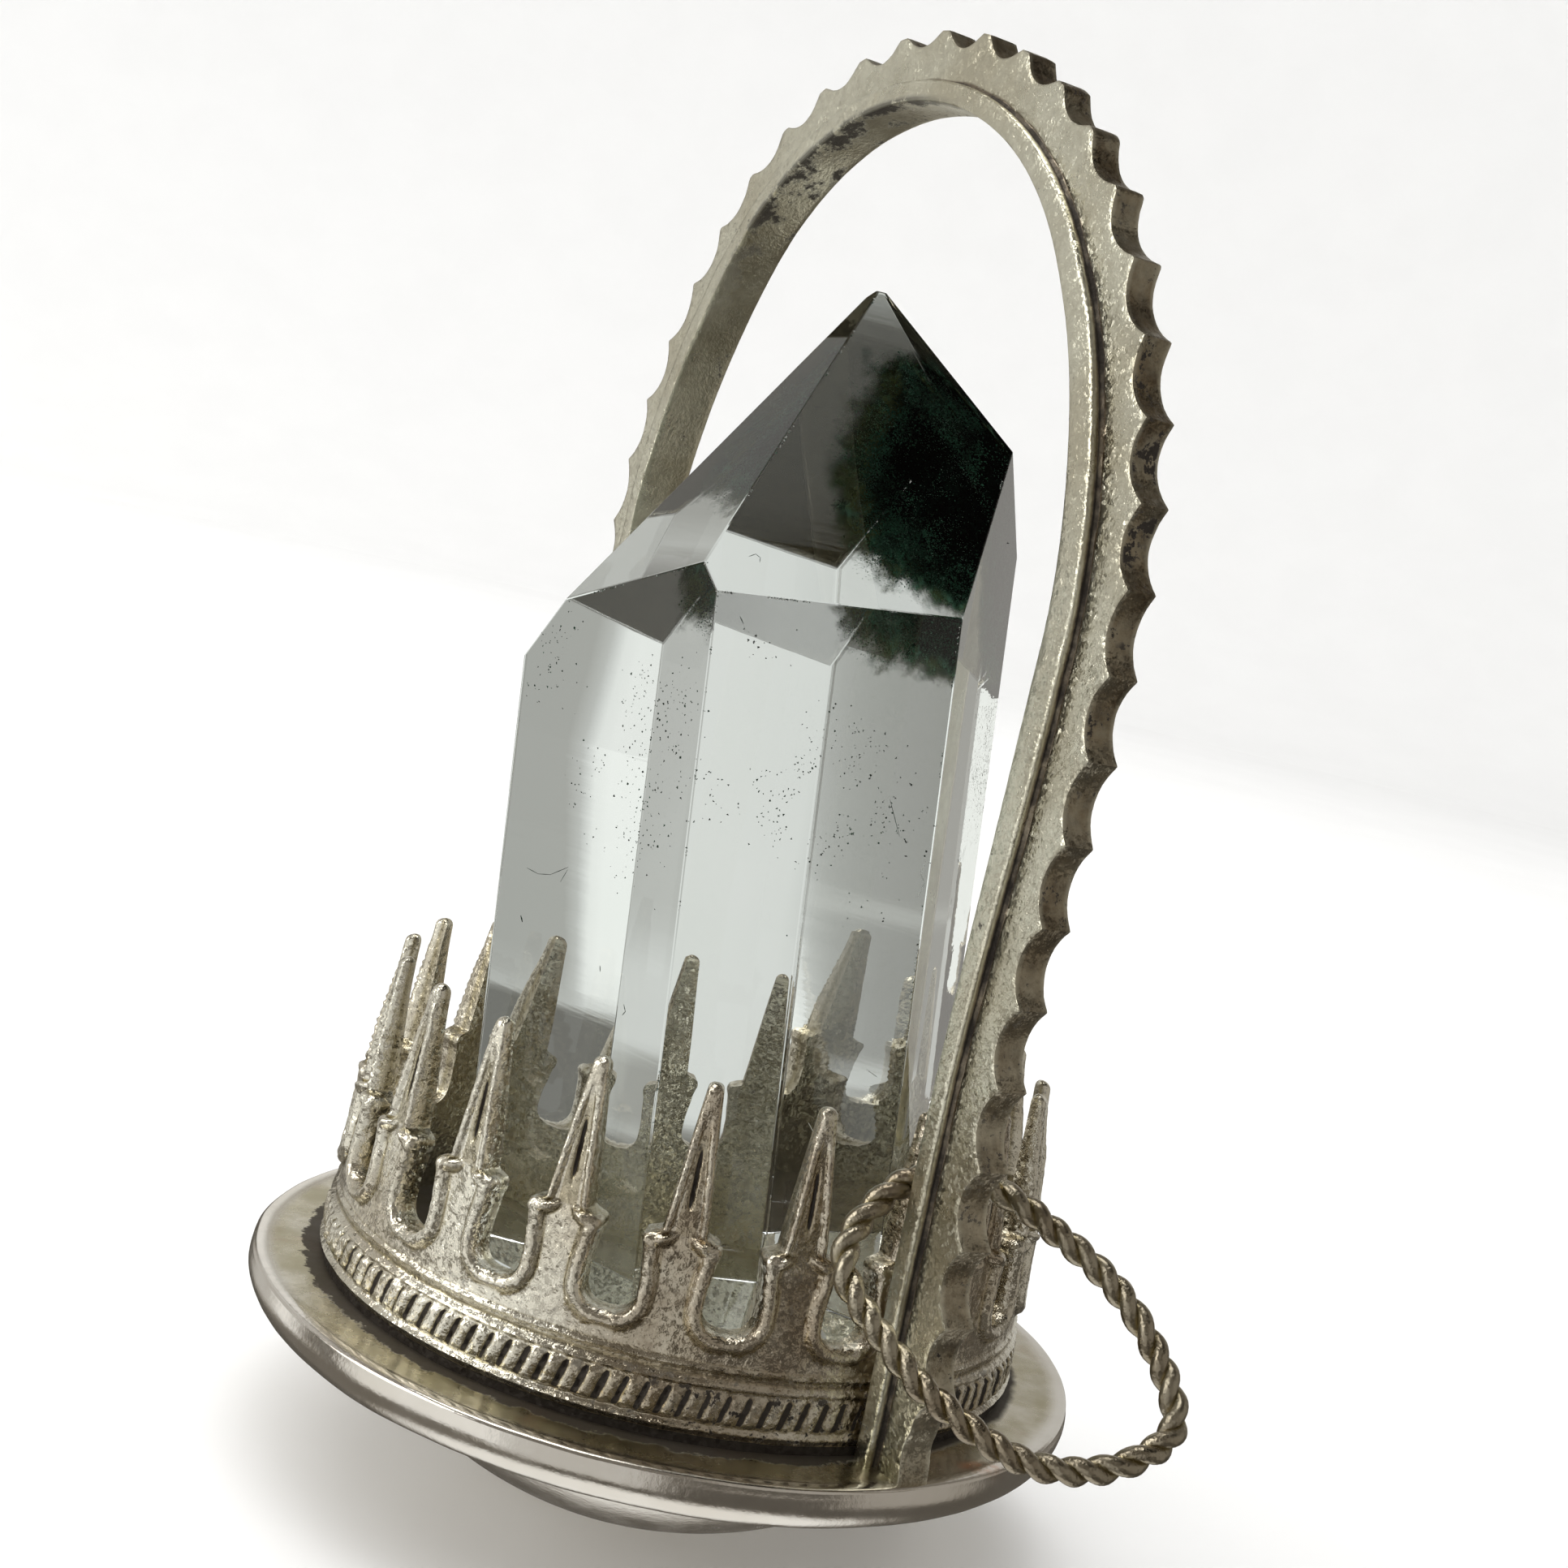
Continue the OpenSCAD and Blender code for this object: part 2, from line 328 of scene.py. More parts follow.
# ---------------------------------------------------------------- silver
def silver(name, clean=(0.80, 0.772, 0.690), warm=(0.56, 0.50, 0.38), grain=0.5, grain_scale=5200.0,
           rough=(0.22, 0.42), tarnish=0.35, dark=(0.035, 0.028, 0.022), olive=(0.30, 0.25, 0.13),
           cavity=None, brushed=None, extra=None, pits=0.0, grain_dist=0.05, cells=0.5, facet=False, near_leg_side=False, spark=0.0, deep=1.0):
    """Worn silver: cast or brushed grain, warm tarnish in patches, black in the recesses."""
    m = Mat(name)
    big = m.noise(160.0, 5, 0.6)
    mid = m.noise(620.0, 6, 0.65, w=3.1)
    fine = m.noise(grain_scale, 1.2, 0.6)
    patch = m.rng(big, 0.42, 0.68)
    col = m.mix(m.math("MULTIPLY", patch, tarnish), clean, warm)
    speck = m.rng(mid, 0.57, 0.74)
    col = m.mix(m.math("MULTIPLY", speck, 0.55 * tarnish), col, warm)
    darkness = None
    if cavity:
        c = m.math("MULTIPLY", m.attr(cavity), deep)
        olv = m.math("MULTIPLY", m.rng(c, 0.12, 0.62), 0.85)
        col = m.mix(olv, col, olive)
        j = m.math("ADD", c, m.math("MULTIPLY", m.math("SUBTRACT", mid, 0.5), 0.9))
        darkness = m.rng(j, 0.55, 0.82)
    if facet:
        fc = m.attr("facet")
        fz = m.math("MULTIPLY", fc, m.rng(m.noise(380.0, 5, 0.65, w=14.0), 0.30, 0.62, 0.62, 1.0))
        lowz = m.rng(m.xyz()[2], 0.034, 0.018)
        fa = m.mix(lowz, (0.215, 0.162, 0.098), (0.45, 0.395, 0.30))
        fb = m.mix(lowz, (0.085, 0.060, 0.036), (0.19, 0.155, 0.11))
        col = m.mix(fz, col, m.mix(m.rng(m.noise(1100.0, 6, 0.72, w=33.0), 0.36, 0.64), fa, fb))
        inn = m.attr("inner")
        col = m.mix(m.math("MULTIPLY", inn, 0.9), col, m.mix(m.rng(m.noise(300.0, 5, 0.65, w=41.0), 0.38, 0.66), (0.84, 0.82, 0.66), (0.56, 0.52, 0.38)))
        spot = m.math("MULTIPLY", inn, m.rng(m.noise(420.0, 5, 0.7, w=43.0), 0.635, 0.68))
        x, y, z = m.xyz()
        crown = m.math("MULTIPLY", m.rng(z, 0.0440, 0.0495), m.rng(x, 0.004, -0.001))
        soot = m.math("MULTIPLY", m.math("MULTIPLY", m.math("MAXIMUM", inn, m.attr("rim")), crown), m.rng(m.math("ADD", m.noise(950.0, 6, 0.75, w=45.0), m.math("MULTIPLY", m.rng(y, 0.0004, -0.0010), 0.13)), 0.54, 0.64))
        spot = m.math("MAXIMUM", m.math("MULTIPLY", spot, 0.85), m.math("MULTIPLY", soot, 0.95))
        darkness = spot if darkness is None else m.math("MAXIMUM", darkness, spot)
        burn = m.math("MULTIPLY", m.attr("burn"), 0.135)
        blk = m.math("MULTIPLY", m.rng(fc, 0.5, 0.9), m.rng(m.math("ADD", m.noise(1300.0, 6, 0.72, w=21.0), burn), 0.630, 0.665))
        darkness = blk if darkness is None else m.math("MAXIMUM", darkness, blk)
        dots = m.math("MULTIPLY", m.rng(m.noise(3600.0, 3, 0.6, w=25.0), 0.585, 0.625), m.rng(m.noise(520.0, 4, 0.65, w=27.0), 0.46, 0.60))
        darkness = m.math("MAXIMUM", darkness, m.math("MULTIPLY", m.math("MULTIPLY", fc, dots), 0.85))
        # pale and dull flecks of the cast skin
        fl = m.rng(m.noise(2100.0, 5, 0.75, w=29.0), 0.34, 0.66)
        col = m.mix(m.math("MULTIPLY", m.math("SUBTRACT", 1.0, fl), 0.30), col, (0.42, 0.39, 0.30))
    if near_leg_side:
        # painted shade: the side next to the near leg is coloured a dull brown for the shade it lies in, and it also
        # has dark pits low down
        wx, wy, wz = m.xyz()
        wa = m.math("ARCTAN2", wy, wx)
        side = m.math("MULTIPLY", m.rng(wa, -1.05, -0.45), m.rng(wa, 0.9, 0.3))
        col = m.mix(m.math("MULTIPLY", side, m.rng(m.noise(500.0, 5, 0.65, w=51.0), 0.32, 0.66, 0.25, 0.85)), col, (0.38, 0.31, 0.23))
        hole = m.math("MULTIPLY", m.math("MULTIPLY", side, m.rng(wz, 0.0102, 0.0088)), m.rng(m.noise(2400.0, 5, 0.7, w=53.0), 0.56, 0.61))
        darkness = hole if darkness is None else m.math("MAXIMUM", darkness, hole)
    if pits:
        p = m.rng(m.noise(2300.0, 4, 0.7, w=1.7), 0.60, 0.70)
        z = m.rng(m.noise(210.0, 3, 0.6, w=8.0), 0.45, 0.62)
        p = m.math("MULTIPLY", m.math("MULTIPLY", p, z), pits)
        darkness = p if darkness is None else m.math("MAXIMUM", darkness, p)
    if extra:
        e = extra(m)
        darkness = e if darkness is None else m.math("MAXIMUM", darkness, e)
    if darkness is not None:
        col = m.mix(darkness, col, dark)
    r = m.rng(mid, 0.3, 0.7, rough[0], rough[1])
    if darkness is not None:
        r = m.math("ADD", r, m.math("MULTIPLY", darkness, 0.3))
    nrm = m.bump(fine, grain, grain_dist)
    cell = m.voronoi(grain_scale * 1.7)
    nrm = m.bump(m.rng(cell, 0.15, 0.55, smoothed=True), grain * cells, grain_dist * 0.6, nrm)
    if brushed:
        s = m.noise(900.0, 4, 0.7, vec=m.mapping(scale=brushed))
        nrm = m.bump(s, 0.35, 0.03, nrm)
    if spark:
        amt = m.rng(m.noise(260.0, 3, 0.6, w=61.0), 0.35, 0.65, spark * 0.55, spark)
        if facet:
            amt = m.math("MULTIPLY", amt, m.math("SUBTRACT", 1.0, m.math("MULTIPLY", m.math("MAXIMUM", m.attr("inner"), m.attr("rim")), 0.8)))
        nrm = m.grains(nrm, grain_scale * 1.05, amt)
    met = 1.0
    if darkness is not None:
        met = m.math("SUBTRACT", 1.0, m.math("MULTIPLY", darkness, 0.55))
    m.principled(Base_Color=col, Metallic=met, Roughness=r, Normal=nrm)
    return m


def base_extra(m):
    """Black and brown stains of the dish: a broken ring at the gallery's foot and flecks."""
    x, y, z = m.xyz()
    r = m.math("SQRT", m.math("ADD", m.math("MULTIPLY", x, x), m.math("MULTIPLY", y, y)))
    n1 = m.noise(700.0, 6, 0.7, w=5.0)
    near = m.rng(r, 0.01505, 0.01345)
    foot = m.rng(m.math("ADD", r, m.math("MULTIPLY", m.noise(900.0, 4, 0.6, w=15.0), 0.0006)), 0.01425, 0.01395)
    foot = m.math("MULTIPLY", foot, m.rng(r, 0.0133, 0.0134))
    top = m.rng(z, 0.0066, 0.0070)
    front = m.rng(y, 0.004, -0.004)
    ring = m.math("MULTIPLY", m.math("MULTIPLY", near, top), m.math("ADD", 0.32, m.math("MULTIPLY", front, 0.72)))
    ring = m.rng(m.math("ADD", ring, m.math("MULTIPLY", m.math("SUBTRACT", n1, 0.5), 2.0)), 0.59, 0.72)
    ring = m.math("MAXIMUM", ring, m.math("MULTIPLY", foot, top))
    ring = m.math("MULTIPLY", ring, m.rng(r, 0.0154, 0.0148))
    fleck = m.rng(m.noise(1500.0, 4, 0.7, w=2.0), 0.66, 0.72)
    under = m.rng(z, 0.0052, 0.0040)
    zone = m.rng(m.noise(150.0, 2, 0.5, w=9.0), 0.50, 0.62)
    f = m.math("MULTIPLY", m.math("MULTIPLY", fleck, zone), m.math("MAXIMUM", under, m.math("MULTIPLY", near, top)))
    return m.math("MAXIMUM", m.math("MULTIPLY", ring, 0.95), f)


def material_base():
    m = Mat("base_silver")
    x, y, z = m.xyz()
    r = m.math("SQRT", m.math("ADD", m.math("MULTIPLY", x, x), m.math("MULTIPLY", y, y)))
    big = m.noise(130.0, 5, 0.6)
    mid = m.noise(700.0, 6, 0.65, w=3.1)
    clean = (0.83, 0.80, 0.76)
    col = m.mix(m.math("MULTIPLY", m.rng(big, 0.42, 0.7), 0.35), clean, (0.60, 0.55, 0.47))
    # yellow and olive film between the rim and the gallery
    film = m.math("MULTIPLY", m.rng(r, 0.01565, 0.0150), m.rng(z, 0.0062, 0.0069))
    film = m.math("MULTIPLY", film, m.rng(m.noise(240.0, 4, 0.6, w=6.0), 0.32, 0.62, 0.35, 0.95))
    col = m.mix(film, col, (0.45, 0.41, 0.27))
    ruddy = m.math("MULTIPLY", m.rng(m.noise(320.0, 3, 0.6, w=11.0), 0.55, 0.72), 0.5)
    col = m.mix(m.math("MULTIPLY", ruddy, film), col, (0.42, 0.25, 0.17))
    copper = m.blob((14.6, 4.6, 7.15), 1.1, (1.6, 0.7, 1.0))
    copper = m.math("MULTIPLY", copper, m.rng(m.noise(900.0, 3, 0.6, w=4.0), 0.35, 0.6))
    col = m.mix(copper, col, (0.72, 0.36, 0.20))
    dk = base_extra(m)
    col = m.mix(dk, col, (0.03, 0.022, 0.016))
    rg = m.rng(mid, 0.3, 0.7, 0.13, 0.24)
    rg = m.math("ADD", rg, m.math("MULTIPLY", film, 0.12))
    rg = m.math("ADD", rg, m.math("MULTIPLY", dk, 0.35))
    # fine turning and polishing marks run round the flange
    ang = m.math("ARCTAN2", y, x)
    cv = m.node("ShaderNodeCombineXYZ")
    m.put(cv.inputs[0], m.math("MULTIPLY", r, 1.0))
    m.put(cv.inputs[1], m.math("MULTIPLY", ang, 0.0006))
    m.put(cv.inputs[2], z)
    turn = m.noise(3800.0, 3, 0.6, vec=cv.outputs[0])
    nrm = m.bump(m.noise(900.0, 5, 0.65), 0.22, 0.05)
    nrm = m.bump(m.noise(3600.0, 3, 0.6), 0.22, 0.03, nrm)
    nrm = m.bump(turn, 0.16, 0.02, nrm)
    m.principled(Base_Color=col, Metallic=m.math("SUBTRACT", 1.0, m.math("MULTIPLY", dk, 0.6)), Roughness=rg, Normal=nrm)
    return m.m


# ---------------------------------------------------------------- base dish
def build_base():
    prof = [(0.0, FLANGE_TOP), (3.0, FLANGE_TOP), (7.0, FLANGE_TOP), (11.0, FLANGE_TOP), (12.4, FLANGE_TOP), (13.4, FLANGE_TOP)]
    for r in np.linspace(13.7, 15.35, 7):
        prof.append((r, FLANGE_TOP))
    # a low bead just inside the edge, then the rolled rim
    for k in range(1, 7):
        a = math.radians(k / 7 * 180)
        prof.append((15.62 - 0.24 * math.cos(a), FLANGE_TOP + 0.03 * math.sin(a)))
    prof.append((15.88, FLANGE_TOP - 0.02))
    prof.append((15.94, FLANGE_TOP - 0.09))
    for k in range(0, 15):
        a = math.radians(18 - k / 14 * 108)
        prof.append((14.76 + 1.24 * math.cos(a), FLANGE_TOP - FLANGE_T + 1.24 + 1.24 * math.sin(a)))
    zc = math.sqrt(DOME_R**2 - 4.83**2)
    prof += [(14.3, 5.40), (13.6, 5.43), (13.0, 5.44), (12.6, 5.43), (12.35, 5.38)]
    a0 = math.asin(12.12 / DOME_R)
    a1 = math.asin(4.83 / DOME_R)
    for k in range(0, 21):
        a = a0 + (a1 - a0) * k / 20
        prof.append((DOME_R * math.sin(a), zc - DOME_R * math.cos(a)))
    prof += [(4.6, 0.0), (3.0, 0.0), (1.2, 0.0), (0.0, 0.0)]
    prof = np.array(prof)
    prof[:, 1] = np.maximum(prof[:, 1], 0.0)
    n = 288
    ang = np.arange(n) * 2 * np.pi / n
    inner = prof[1:-1]
    R, A = np.meshgrid(inner[:, 0], ang, indexing="ij")
    Z = np.repeat(inner[:, 1][:, None], n, 1)
    V = np.stack([R * np.cos(A), R * np.sin(A), Z], -1).reshape(-1, 3)
    # hand-worn surface: slow waves in the flange, small dents in the dome
    w = fnoise(V, 0.10, 3, 3) * 0.05 + fnoise(V, 0.38, 9, 3) * 0.030
    rr = np.hypot(V[:, 0], V[:, 1])
    edge = smooth(6, 15, rr)
    V[:, 2] += w * edge * (V[:, 2] > 0.3)
    rad = (fnoise(V, 0.16, 21, 2) * 0.03 + fnoise(V, 0.6, 23, 2) * 0.018) * smooth(13, 15.9, rr)
    V[:, 0] -= (0.03 + rad) * V[:, 0] / np.maximum(rr, 1e-6) * smooth(13, 15.9, rr)
    V[:, 1] -= (0.03 + rad) * V[:, 1] / np.maximum(rr, 1e-6) * smooth(13, 15.9, rr)
    m = len(V)
    V = np.vstack([V, [[0, 0, FLANGE_TOP], [0, 0, 0]]])
    q = grid_faces(len(inner), n, wrap=True, flip=True)
    top = np.stack([np.full(n, m), np.arange(n), (np.arange(n) + 1) % n], -1)
    last = (len(inner) - 1) * n
    bot = np.stack([np.full(n, m + 1), last + (np.arange(n) + 1) % n, last + np.arange(n)], -1)
    o = make_mesh("base_dish", V, [q, top, bot], None, sharp=48)
    o.data.materials.append(material_base())
    return o


# ---------------------------------------------------------------- gallery
def gal_radius(z):
    return GAL_FOOT_R + (GAL_TIP_R - GAL_FOOT_R) * (np.asarray(z, float) - FLANGE_TOP) / (TIP_Z - FLANGE_TOP)


def half_width(z):
    """Half the metal's width about a spire's centre line at height z."""
    z = np.asarray(z, float)
    half_pitch = gal_radius(z) * np.pi / SPIRES
    zc = OPEN_Z + 0.80
    dz = np.clip((zc - z) / 0.80, 0, 1)
    h = np.where(z < zc, OPEN_R * np.maximum(1 - dz**2.5, 0) ** (1 / 2.5), OPEN_R)
    # the opening narrows towards the nubs that end the raised rims
    h = h - 0.12 * smooth(12.0, 13.2, z) - 0.12 * np.exp(-(((z - 13.60) / 0.27) ** 2))
    w_low = half_pitch - h
    t = np.clip((z - 14.1) / (18.85 - 14.1), 0, 1)
    spire = 0.78 * (1 - t) + 0.29 * t
    tip0 = 18.83
    tt = np.clip((z - tip0) / (TIP_Z - tip0), 0, 1)
    spire = spire * np.sqrt(np.maximum(1 - tt**2, 0.0))
    k = smooth(13.80, 14.04, z)
    return w_low * (1 - k) + spire * k


def build_gallery():
    NU, NI = 30, 6
    a = np.linspace(0, np.pi / 2, 13)
    up = list(OPEN_Z + 0.80 - 0.80 * np.cos(a) ** 0.9)
    up += list(np.linspace(OPEN_Z + 0.80, 13.1, 10)[1:-1]) + [13.1]
    up += list(np.linspace(13.1, 14.3, 20)[1:])
    up += list(np.linspace(14.3, 18.83, 34)[1:])
    up += list(18.83 + (TIP_Z - 18.83) * np.sin(np.linspace(0, np.pi / 2, 8))[1:])
    up = np.array(up)
    up[-1] = TIP_Z - 0.002
    band = np.concatenate([[7.0, 7.2, 7.4], np.linspace(7.5, 7.92, 7), np.linspace(8.0, 9.0, 9), np.linspace(9.08, 9.92, 13), np.linspace(10.05, OPEN_Z, 7)[:-1]])
    hp = 180.0 / SPIRES

    # outline of half a unit, for the distance to the edge
    zz = np.concatenate([OPEN_Z + 0.80 - 0.80 * np.cos(np.linspace(0, np.pi / 2, 60)) ** 0.9, np.linspace(OPEN_Z + 0.80, TIP_Z - 0.01, 500)])
    outline = np.stack([half_width(zz), zz], -1)

    def edge_distance(s, z):
        pts = np.stack([np.abs(s), z], -1)
        out = np.empty(len(pts))
        for k in range(0, len(pts), 20000):
            p = pts[k : k + 20000]
            d = np.sqrt(((p[:, None, :] - outline[None, ::2, :]) ** 2).sum(-1))
            out[k : k + 20000] = d.min(1)
        return out

    def relief(s, z, th):
        """Outward relief in mm and the cavity value at tangential s and height z of a unit."""
        d = edge_distance(s, z)
        low = 1 - smooth(13.80, 14.0, z)
        rimw = 0.56
        q = np.clip(1 - ((d - rimw * 0.5) / (rimw * 0.5)) ** 2, 0, 1)
        rim = 0.30 * np.sqrt(q) * low * smooth(9.95, 10.25, z)
        nub = 0.03 * np.exp(-(((z - 13.58) / 0.26) ** 2)) * (d < 0.6) * low
        w = np.maximum(half_width(z), 1e-3)
        sp = 1 - low
        x = np.abs(s) / w
        # two ridges run up each spire and meet at its tip, with a flat valley between them
        rw = np.clip(0.155 / w, 0.17, 0.5)
        ridge = 0.19 * np.sqrt(np.clip(1 - ((x - (1 - rw)) / rw) ** 2, 0, 1)) * sp
        shut = smooth(17.2, 18.4, z)
        ridge = ridge * (1 - shut) + shut * sp * 0.22 * np.sqrt(np.clip(1 - x**2, 0, 1))
        azd = np.degrees(th) % 360
        beaded = smooth(285, 262, azd) * smooth(170, 200, azd)
        ridge *= 1 + (0.04 + 0.24 * beaded) * np.sin(2 * np.pi * z / 0.33 + np.sign(s) * 1.1) * (1 - shut)
        groove = np.exp(-(((s + 0.03) / 0.075) ** 2)) * sp * smooth(14.5, 15.2, z) * (1 - smooth(16.4, 17.2, z))
        # under the spire the two ridges run down and die out in the field
        leg_in = np.exp(-(((np.abs(s) - (0.56 + (14.2 - z) * 0.30)) / 0.14) ** 2)) * low * smooth(13.0, 13.9, z)
        line = 0.11 * np.exp(-(((z - 9.76) / 0.085) ** 2))
        # gadroons, six to a unit and leaning, between two fillets
        ph = np.degrees(th) / 3.0 - (z - 8.45) * 0.40 + 60.0
        gx = (ph % 1.0) * 2 - 1
        gid = np.floor(ph).astype(np.int64)
        big = 0.72 + 0.5 * hash01(gid % 120, gid * 0, gid * 0, 9)
        body = np.sqrt(np.clip(1 - (gx / 0.92) ** 2, 0, 1))
        body = body * (0.80 - 0.35 * gx)
        env = smooth(7.86, 8.06, z) * (1 - smooth(8.88, 9.08, z))
        near_leg_side = 1 - 0.55 * smooth(-34, -16, (np.degrees(th) + 180) % 360 - 180) * (1 - smooth(10, 30, (np.degrees(th) + 180) % 360 - 180))
        pit = 0.5 + 0.5 * np.sin(th * 37.0 + 2.0 * np.sin(th * 11.0))
        gad = 0.26 * body * env * big * near_leg_side * (0.75 + 0.25 * pit)
        fil = 0.20 * np.exp(-(((z - 7.70) / 0.13) ** 2)) + 0.19 * np.exp(-(((z - 9.24) / 0.12) ** 2))
        rel = rim + nub + ridge + 0.12 * leg_in - 0.02 * low + line + gad + fil * near_leg_side - 0.13 * groove
        rel -= 0.12 * (1 - np.clip(d / 0.10, 0, 1)) ** 2 * (z > 10.7)
        cav = np.zeros_like(z)
        cav = np.maximum(cav, groove * 1.0)
        hole = 1.25 * np.exp(-(((np.abs(gx) - 1) / 0.34) ** 2)) * env
        cav = np.maximum(cav, hole * (0.55 + 0.55 * hash01(gid % 120, gid * 0 + 3, gid * 0, 19)))
        cav = np.maximum(cav, 0.42 * np.exp(-(((d - 0.62) / 0.07) ** 2)) * low * (z > 10.0))
        cav = np.maximum(cav, 0.45 * np.exp(-(((z - 9.50) / 0.10) ** 2)))
        cav = np.maximum(cav, 0.35 * np.exp(-(((z - 9.95) / 0.06) ** 2)))
        cav = np.maximum(cav, 1.0 * (1 - smooth(7.38, 7.56, z)))
        cav = np.maximum(cav, 0.40 * np.exp(-(((z - 13.95) / 0.10) ** 2)) * (np.abs(s) > 0.5))
        cav = np.maximum(cav, 0.28 * sp * (1 - shut) * (x < 0.45))
        return rel, cav

    verts, cavs, faces = [], [], []

    def add(V, c):
        base = sum(len(v) for v in verts)
        verts.append(V)
        cavs.append(c)
        return base

    rng = np.random.RandomState(11)
    lean_t = rng.uniform(-0.12, 0.12, SPIRES)
    lean_r = rng.uniform(-0.22, 0.14, SPIRES)
    short = rng.uniform(0.0, 0.22, SPIRES)
    short[[3, 11]] = 0.34
    lean_r[[14, 15]] = 0.12

    def place(s, z, unit, outer, rel):
        """Tangential s, height z, unit index to x, y, z."""
        R = gal_radius(z)
        k = smooth(13.9, TIP_Z, z)
        th = np.radians(SPIRE_0 + 18.0 * unit) + (s + k * lean_t[unit]) / R
        thin = 1 - 0.42 * smooth(14.5, 18.8, z)
        thin = thin * np.sqrt(np.maximum(1 - np.clip((z - 18.75) / (TIP_Z - 18.75), 0, 1) ** 2, 0.0025))
        rad = R - GAL_T / 2 + (rel + GAL_T / 2 if outer else -GAL_T / 2 + rel) * thin + k * lean_r[unit]
        zz = z - smooth(16.0, TIP_Z, z) * short[unit]
        return th, np.stack([rad * np.cos(th), rad * np.sin(th), zz], -1)

    # band: full rings, outer and inner
    no, ni = NU * SPIRES, NI * SPIRES
    rows = len(band) + 1
    zb = np.concatenate([band, [OPEN_Z]])
    Zo, J = np.meshgrid(zb, np.arange(no), indexing="ij")
    unit = (J // NU) % SPIRES
    s = ((J % NU) / NU * 2 - 1) * gal_radius(Zo) * np.pi / SPIRES
    th = np.radians(SPIRE_0 + 18.0 * unit) + s / gal_radius(Zo)
    rel, cav = relief(s.ravel(), Zo.ravel(), th.ravel())
    _, P = place(s.ravel(), Zo.ravel(), unit.ravel(), True, rel)
    cast = fnoise(P, 2.4, 5, 3) * 0.035 + fnoise(P, 6.0, 31, 2) * 0.016
    # wear flattens the gadroons on the near right side
    P[:, :2] *= (1 + cast / 13.0)[:, None]
    b_out = add(P, cav)
    faces.append(grid_faces(rows, no, b_out, wrap=True))
    Zi, J = np.meshgrid(zb, np.arange(ni), indexing="ij")
    unit = (J // NI) % SPIRES
    s = ((J % NI) / NI * 2 - 1) * gal_radius(Zi) * np.pi / SPIRES
    _, P = place(s.ravel(), Zi.ravel(), unit.ravel(), False, 0 * s.ravel())
    b_in = add(P, np.full(len(P), 0.22))
    faces.append(grid_faces(rows, ni, b_in, wrap=True, flip=True))
    # foot: close between the outer and the inner ring
    k = NU // NI
    tri = []
    for j in range(ni):
        i0, i1 = b_in + j, b_in + (j + 1) % ni
        for q in range(k):
            o0 = b_out + (j * k + q) % no
            o1 = b_out + (j * k + q + 1) % no
            tri.append((i0, o1, o0) if q < k // 2 + 1 else (i1, o1, o0))
        om = b_out + (j * k + k // 2 + 1) % no
        tri.append((i0, i1, om))
    faces.append(np.array(tri))

    # spires: one closed loop of vertices a row, for each unit
    u_out = np.linspace(-1, 1, NU + 1)
    u_in = np.linspace(1, -1, NI + 1)
    L = (NU + 1) + 1 + (NI + 1) + 1
    for unit in range(SPIRES):
        w = half_width(up)
        S = w[:, None] * u_out[None, :]
        Z = np.repeat(up[:, None], NU + 1, 1)
        th = np.radians(SPIRE_0 + 18.0 * unit) + S / gal_radius(Z)
        rel, cav = relief(S.ravel(), Z.ravel(), th.ravel())
        un = np.full(S.size, unit)
        _, Po = place(S.ravel(), Z.ravel(), un, True, rel)
        cast = fnoise(Po, 2.4, 5, 3) * 0.035 + fnoise(Po, 6.0, 31, 2) * 0.016
        Po[:, :2] *= (1 + cast / 13.0)[:, None]
        Po = Po.reshape(len(up), NU + 1, 3)
        co = cav.reshape(len(up), NU + 1)
        S = w[:, None] * u_in[None, :]
        Z = np.repeat(up[:, None], NI + 1, 1)
        un = np.full(S.size, unit)
        bulge = 0.10 * (1 - np.abs(u_in)[None, :] ** 2) * smooth(13.8, 14.6, Z)
        _, Pi = place(S.ravel(), Z.ravel(), un, False, -bulge.ravel() * 0.6)
        Pi = Pi.reshape(len(up), NI + 1, 3)
        mid_r = (Po[:, -1] + Pi[:, 0]) / 2
        mid_l = (Po[:, 0] + Pi[:, -1]) / 2
        ring = np.concatenate([Po, mid_r[:, None], Pi, mid_l[:, None]], 1)
        cv = np.concatenate([co, np.full((len(up), 1), 0.35), np.full((len(up), NI + 1), 0.22), np.full((len(up), 1), 0.35)], 1)
        b = add(ring.reshape(-1, 3), cv.ravel())
        q = grid_faces(len(up), L, b, wrap=True)
        faces.append(q)
        # cap the tip
        top = ring[-1].mean(0)
        c = add(top[None, :], np.array([0.1]))
        lastrow = b + (len(up) - 1) * L
        faces.append(np.stack([lastrow + np.arange(L), lastrow + (np.arange(L) + 1) % L, np.full(L, c)], -1))
    V = np.vstack(verts)
    cav = np.concatenate(cavs)
    # the two rows of vertices at OPEN_Z, the band's and the spires', become one
    m = silver("gallery_silver", clean=(0.86, 0.835, 0.74), warm=(0.56, 0.49, 0.37), grain=0.5, grain_scale=6800.0,
               rough=(0.19, 0.29), tarnish=0.65, cavity="cav", pits=0.9, grain_dist=0.045, cells=0.35, near_leg_side=True, spark=0.40, deep=1.45)
    o = make_mesh("crown_gallery", V, faces, m.m, attrs={"cav": cav}, merge=0.0012, sharp=60)
    return o


